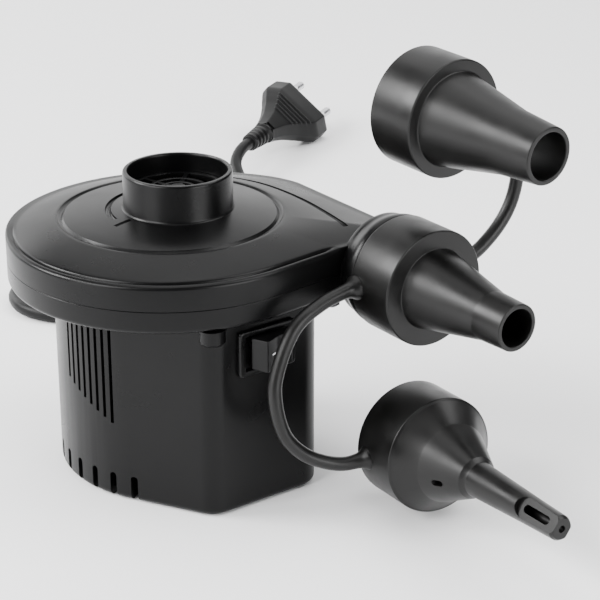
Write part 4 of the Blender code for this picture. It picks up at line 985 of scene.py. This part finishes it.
# Distance behind the pin face, width, thickness and bevel.
PLUG_ROWS = ((0.0, 34.0, 12.6, 5.4), (-1.0, 35.3, 13.7, 5.8), (-12.0, 35.3, 13.7, 5.8),
             (-18.0, 30.0, 13.2, 5.0), (-25.0, 22.6, 12.4, 4.2), (-33.0, 16.0, 11.4, 3.6),
             (-42.0, 11.4, 10.0, 3.0), (-46.0, 10.4, 9.6, 2.8))


def plug_size(z):
    """Width, thickness and bevel of the plug at a distance behind its pin face."""
    rows = PLUG_ROWS
    for i in range(len(rows) - 1):
        a, b = rows[i], rows[i + 1]
        if z >= b[0]:
            t = (z - a[0]) / (b[0] - a[0])
            before, after = rows[max(i - 1, 0)], rows[min(i + 2, len(rows) - 1)]
            if i < 2:
                return [a[k] + (b[k] - a[k]) * t for k in (1, 2, 3)]
            return [0.5 * (2 * a[k] + (b[k] - before[k]) * t
                           + (2 * before[k] - 5 * a[k] + 4 * b[k] - after[k]) * t * t
                           + (3 * a[k] - before[k] - 3 * b[k] + after[k]) * t ** 3) for k in (1, 2, 3)]
    return list(rows[-1][1:])


def plug_section(width, thickness, bevel, z):
    half, thin = width / 2, thickness / 2
    outline = [(half, 0.3 * thin), (half - bevel, thin), (-half + bevel, thin), (-half, 0.3 * thin),
               (-half, -0.3 * thin), (-half + bevel, -thin), (half - bevel, -thin), (half, -0.3 * thin)]
    return level(fillet(outline, 1.1, 3), z)


def make_plug():
    """Plug body with grip ribs and a ribbed neck, and its two sleeved pins."""
    place = plug_matrix()
    rings = [plug_section(w, t, b, z) for w, t, b, z in
             ((32.2, 11.2, 5.0, 0.0), (33.6, 12.4, 5.4, -0.12), (34.6, 13.1, 5.6, -0.5),
              (35.15, 13.55, 5.75, -1.1), (35.3, 13.7, 5.8, -1.9))]
    z = -3.0
    while z > -46.0:
        rings.append(plug_section(*plug_size(z), z))
        z -= 1.0
    body = lofted("body", rings, CORD, matrix=place, angle=24)
    holes = []
    for side in (-1, 1):
        stand = place @ Matrix.Translation((side * PIN_SIDE, 0, 0))
        holes.append(turned("hole", [(2.1, -4), (2.1, 1)], CORD, stand, 32, False))
    holes.append(block("slit", (-2.3, 3.2, -44.6), (2.3, 6.0, -42.8), CORD, place))
    combine(body, merged("holes", holes))
    parts = [body]
    for i in range(5):
        z = -16.6 - 3.1 * i
        w, t, b = plug_size(z)
        reach = w / 2 - b * 0.92
        y = t / 2 - 0.28
        line = [(-reach, y - 0.5, z), (-reach + 0.7, y, z), (0, y, z), (reach - 0.7, y, z),
                (reach, y - 0.5, z)]
        line = [place @ Vector(p) for p in smooth_path(line, count=17)]
        parts.append(swept("rib", line, [0.45] + [0.8] * 15 + [0.45], CORD, sides=14))
    neck = [(3.0, -45.0), (4.9, -45.2), (5.0, -46.4), (4.4, -46.9)]
    for i in range(4):
        at = -47.6 - 3.4 * i
        outer = 4.75 - 0.22 * i
        neck += [(outer - 0.8, at), (outer - 0.8, at - 1.2), (outer, at - 1.4), (outer, at - 2.9)]
    neck += [(3.4, -61.4), (3.3, -61.9), (2.7, -62.0)]
    parts.append(turned("neck", neck, CORD, place, 40, closed=False, angle=28))
    look = [owned(merged("plug_body_look", parts), "pump_body", "cord", "plug_body")]
    for name, side in (("a", 1), ("b", -1)):
        stand = place @ Matrix.Translation((side * PIN_SIDE, 0, 0))
        sleeve = fillet([(1.92, -5.0, 0.1), (1.92, 10.0, 0.25), (1.2, 10.0, 0.1), (1.2, -5.0, 0.1)], 0.1, 3)
        obj = turned("pin_sleeve_" + name + "_look", sleeve, WHITE, stand, 40)
        look.append(owned(obj, "pump_body", "white", "pin_sleeve_" + name))
        pin = [(1.1, -5.0), (1.1, 9.9), (1.9, 10.05), (2.0, 10.2), (2.0, 17.3), (1.9, 17.9), (1.6, 18.5),
               (1.1, 18.9), (0.3, 19.0)]
        obj = turned("plug_pin_" + name + "_look", pin, STEEL, stand, 40, closed=False)
        look.append(owned(obj, "pump_body", "steel", "plug_pin_" + name))
    return look


make_camera()
make_studio()
finish_cad_nodes()
lead, lead_length = make_cord()
make_housing()
make_base()
make_cover()
make_guard()
make_switch()
make_nozzles()
make_straps()
make_grommet()
plug = make_plug()
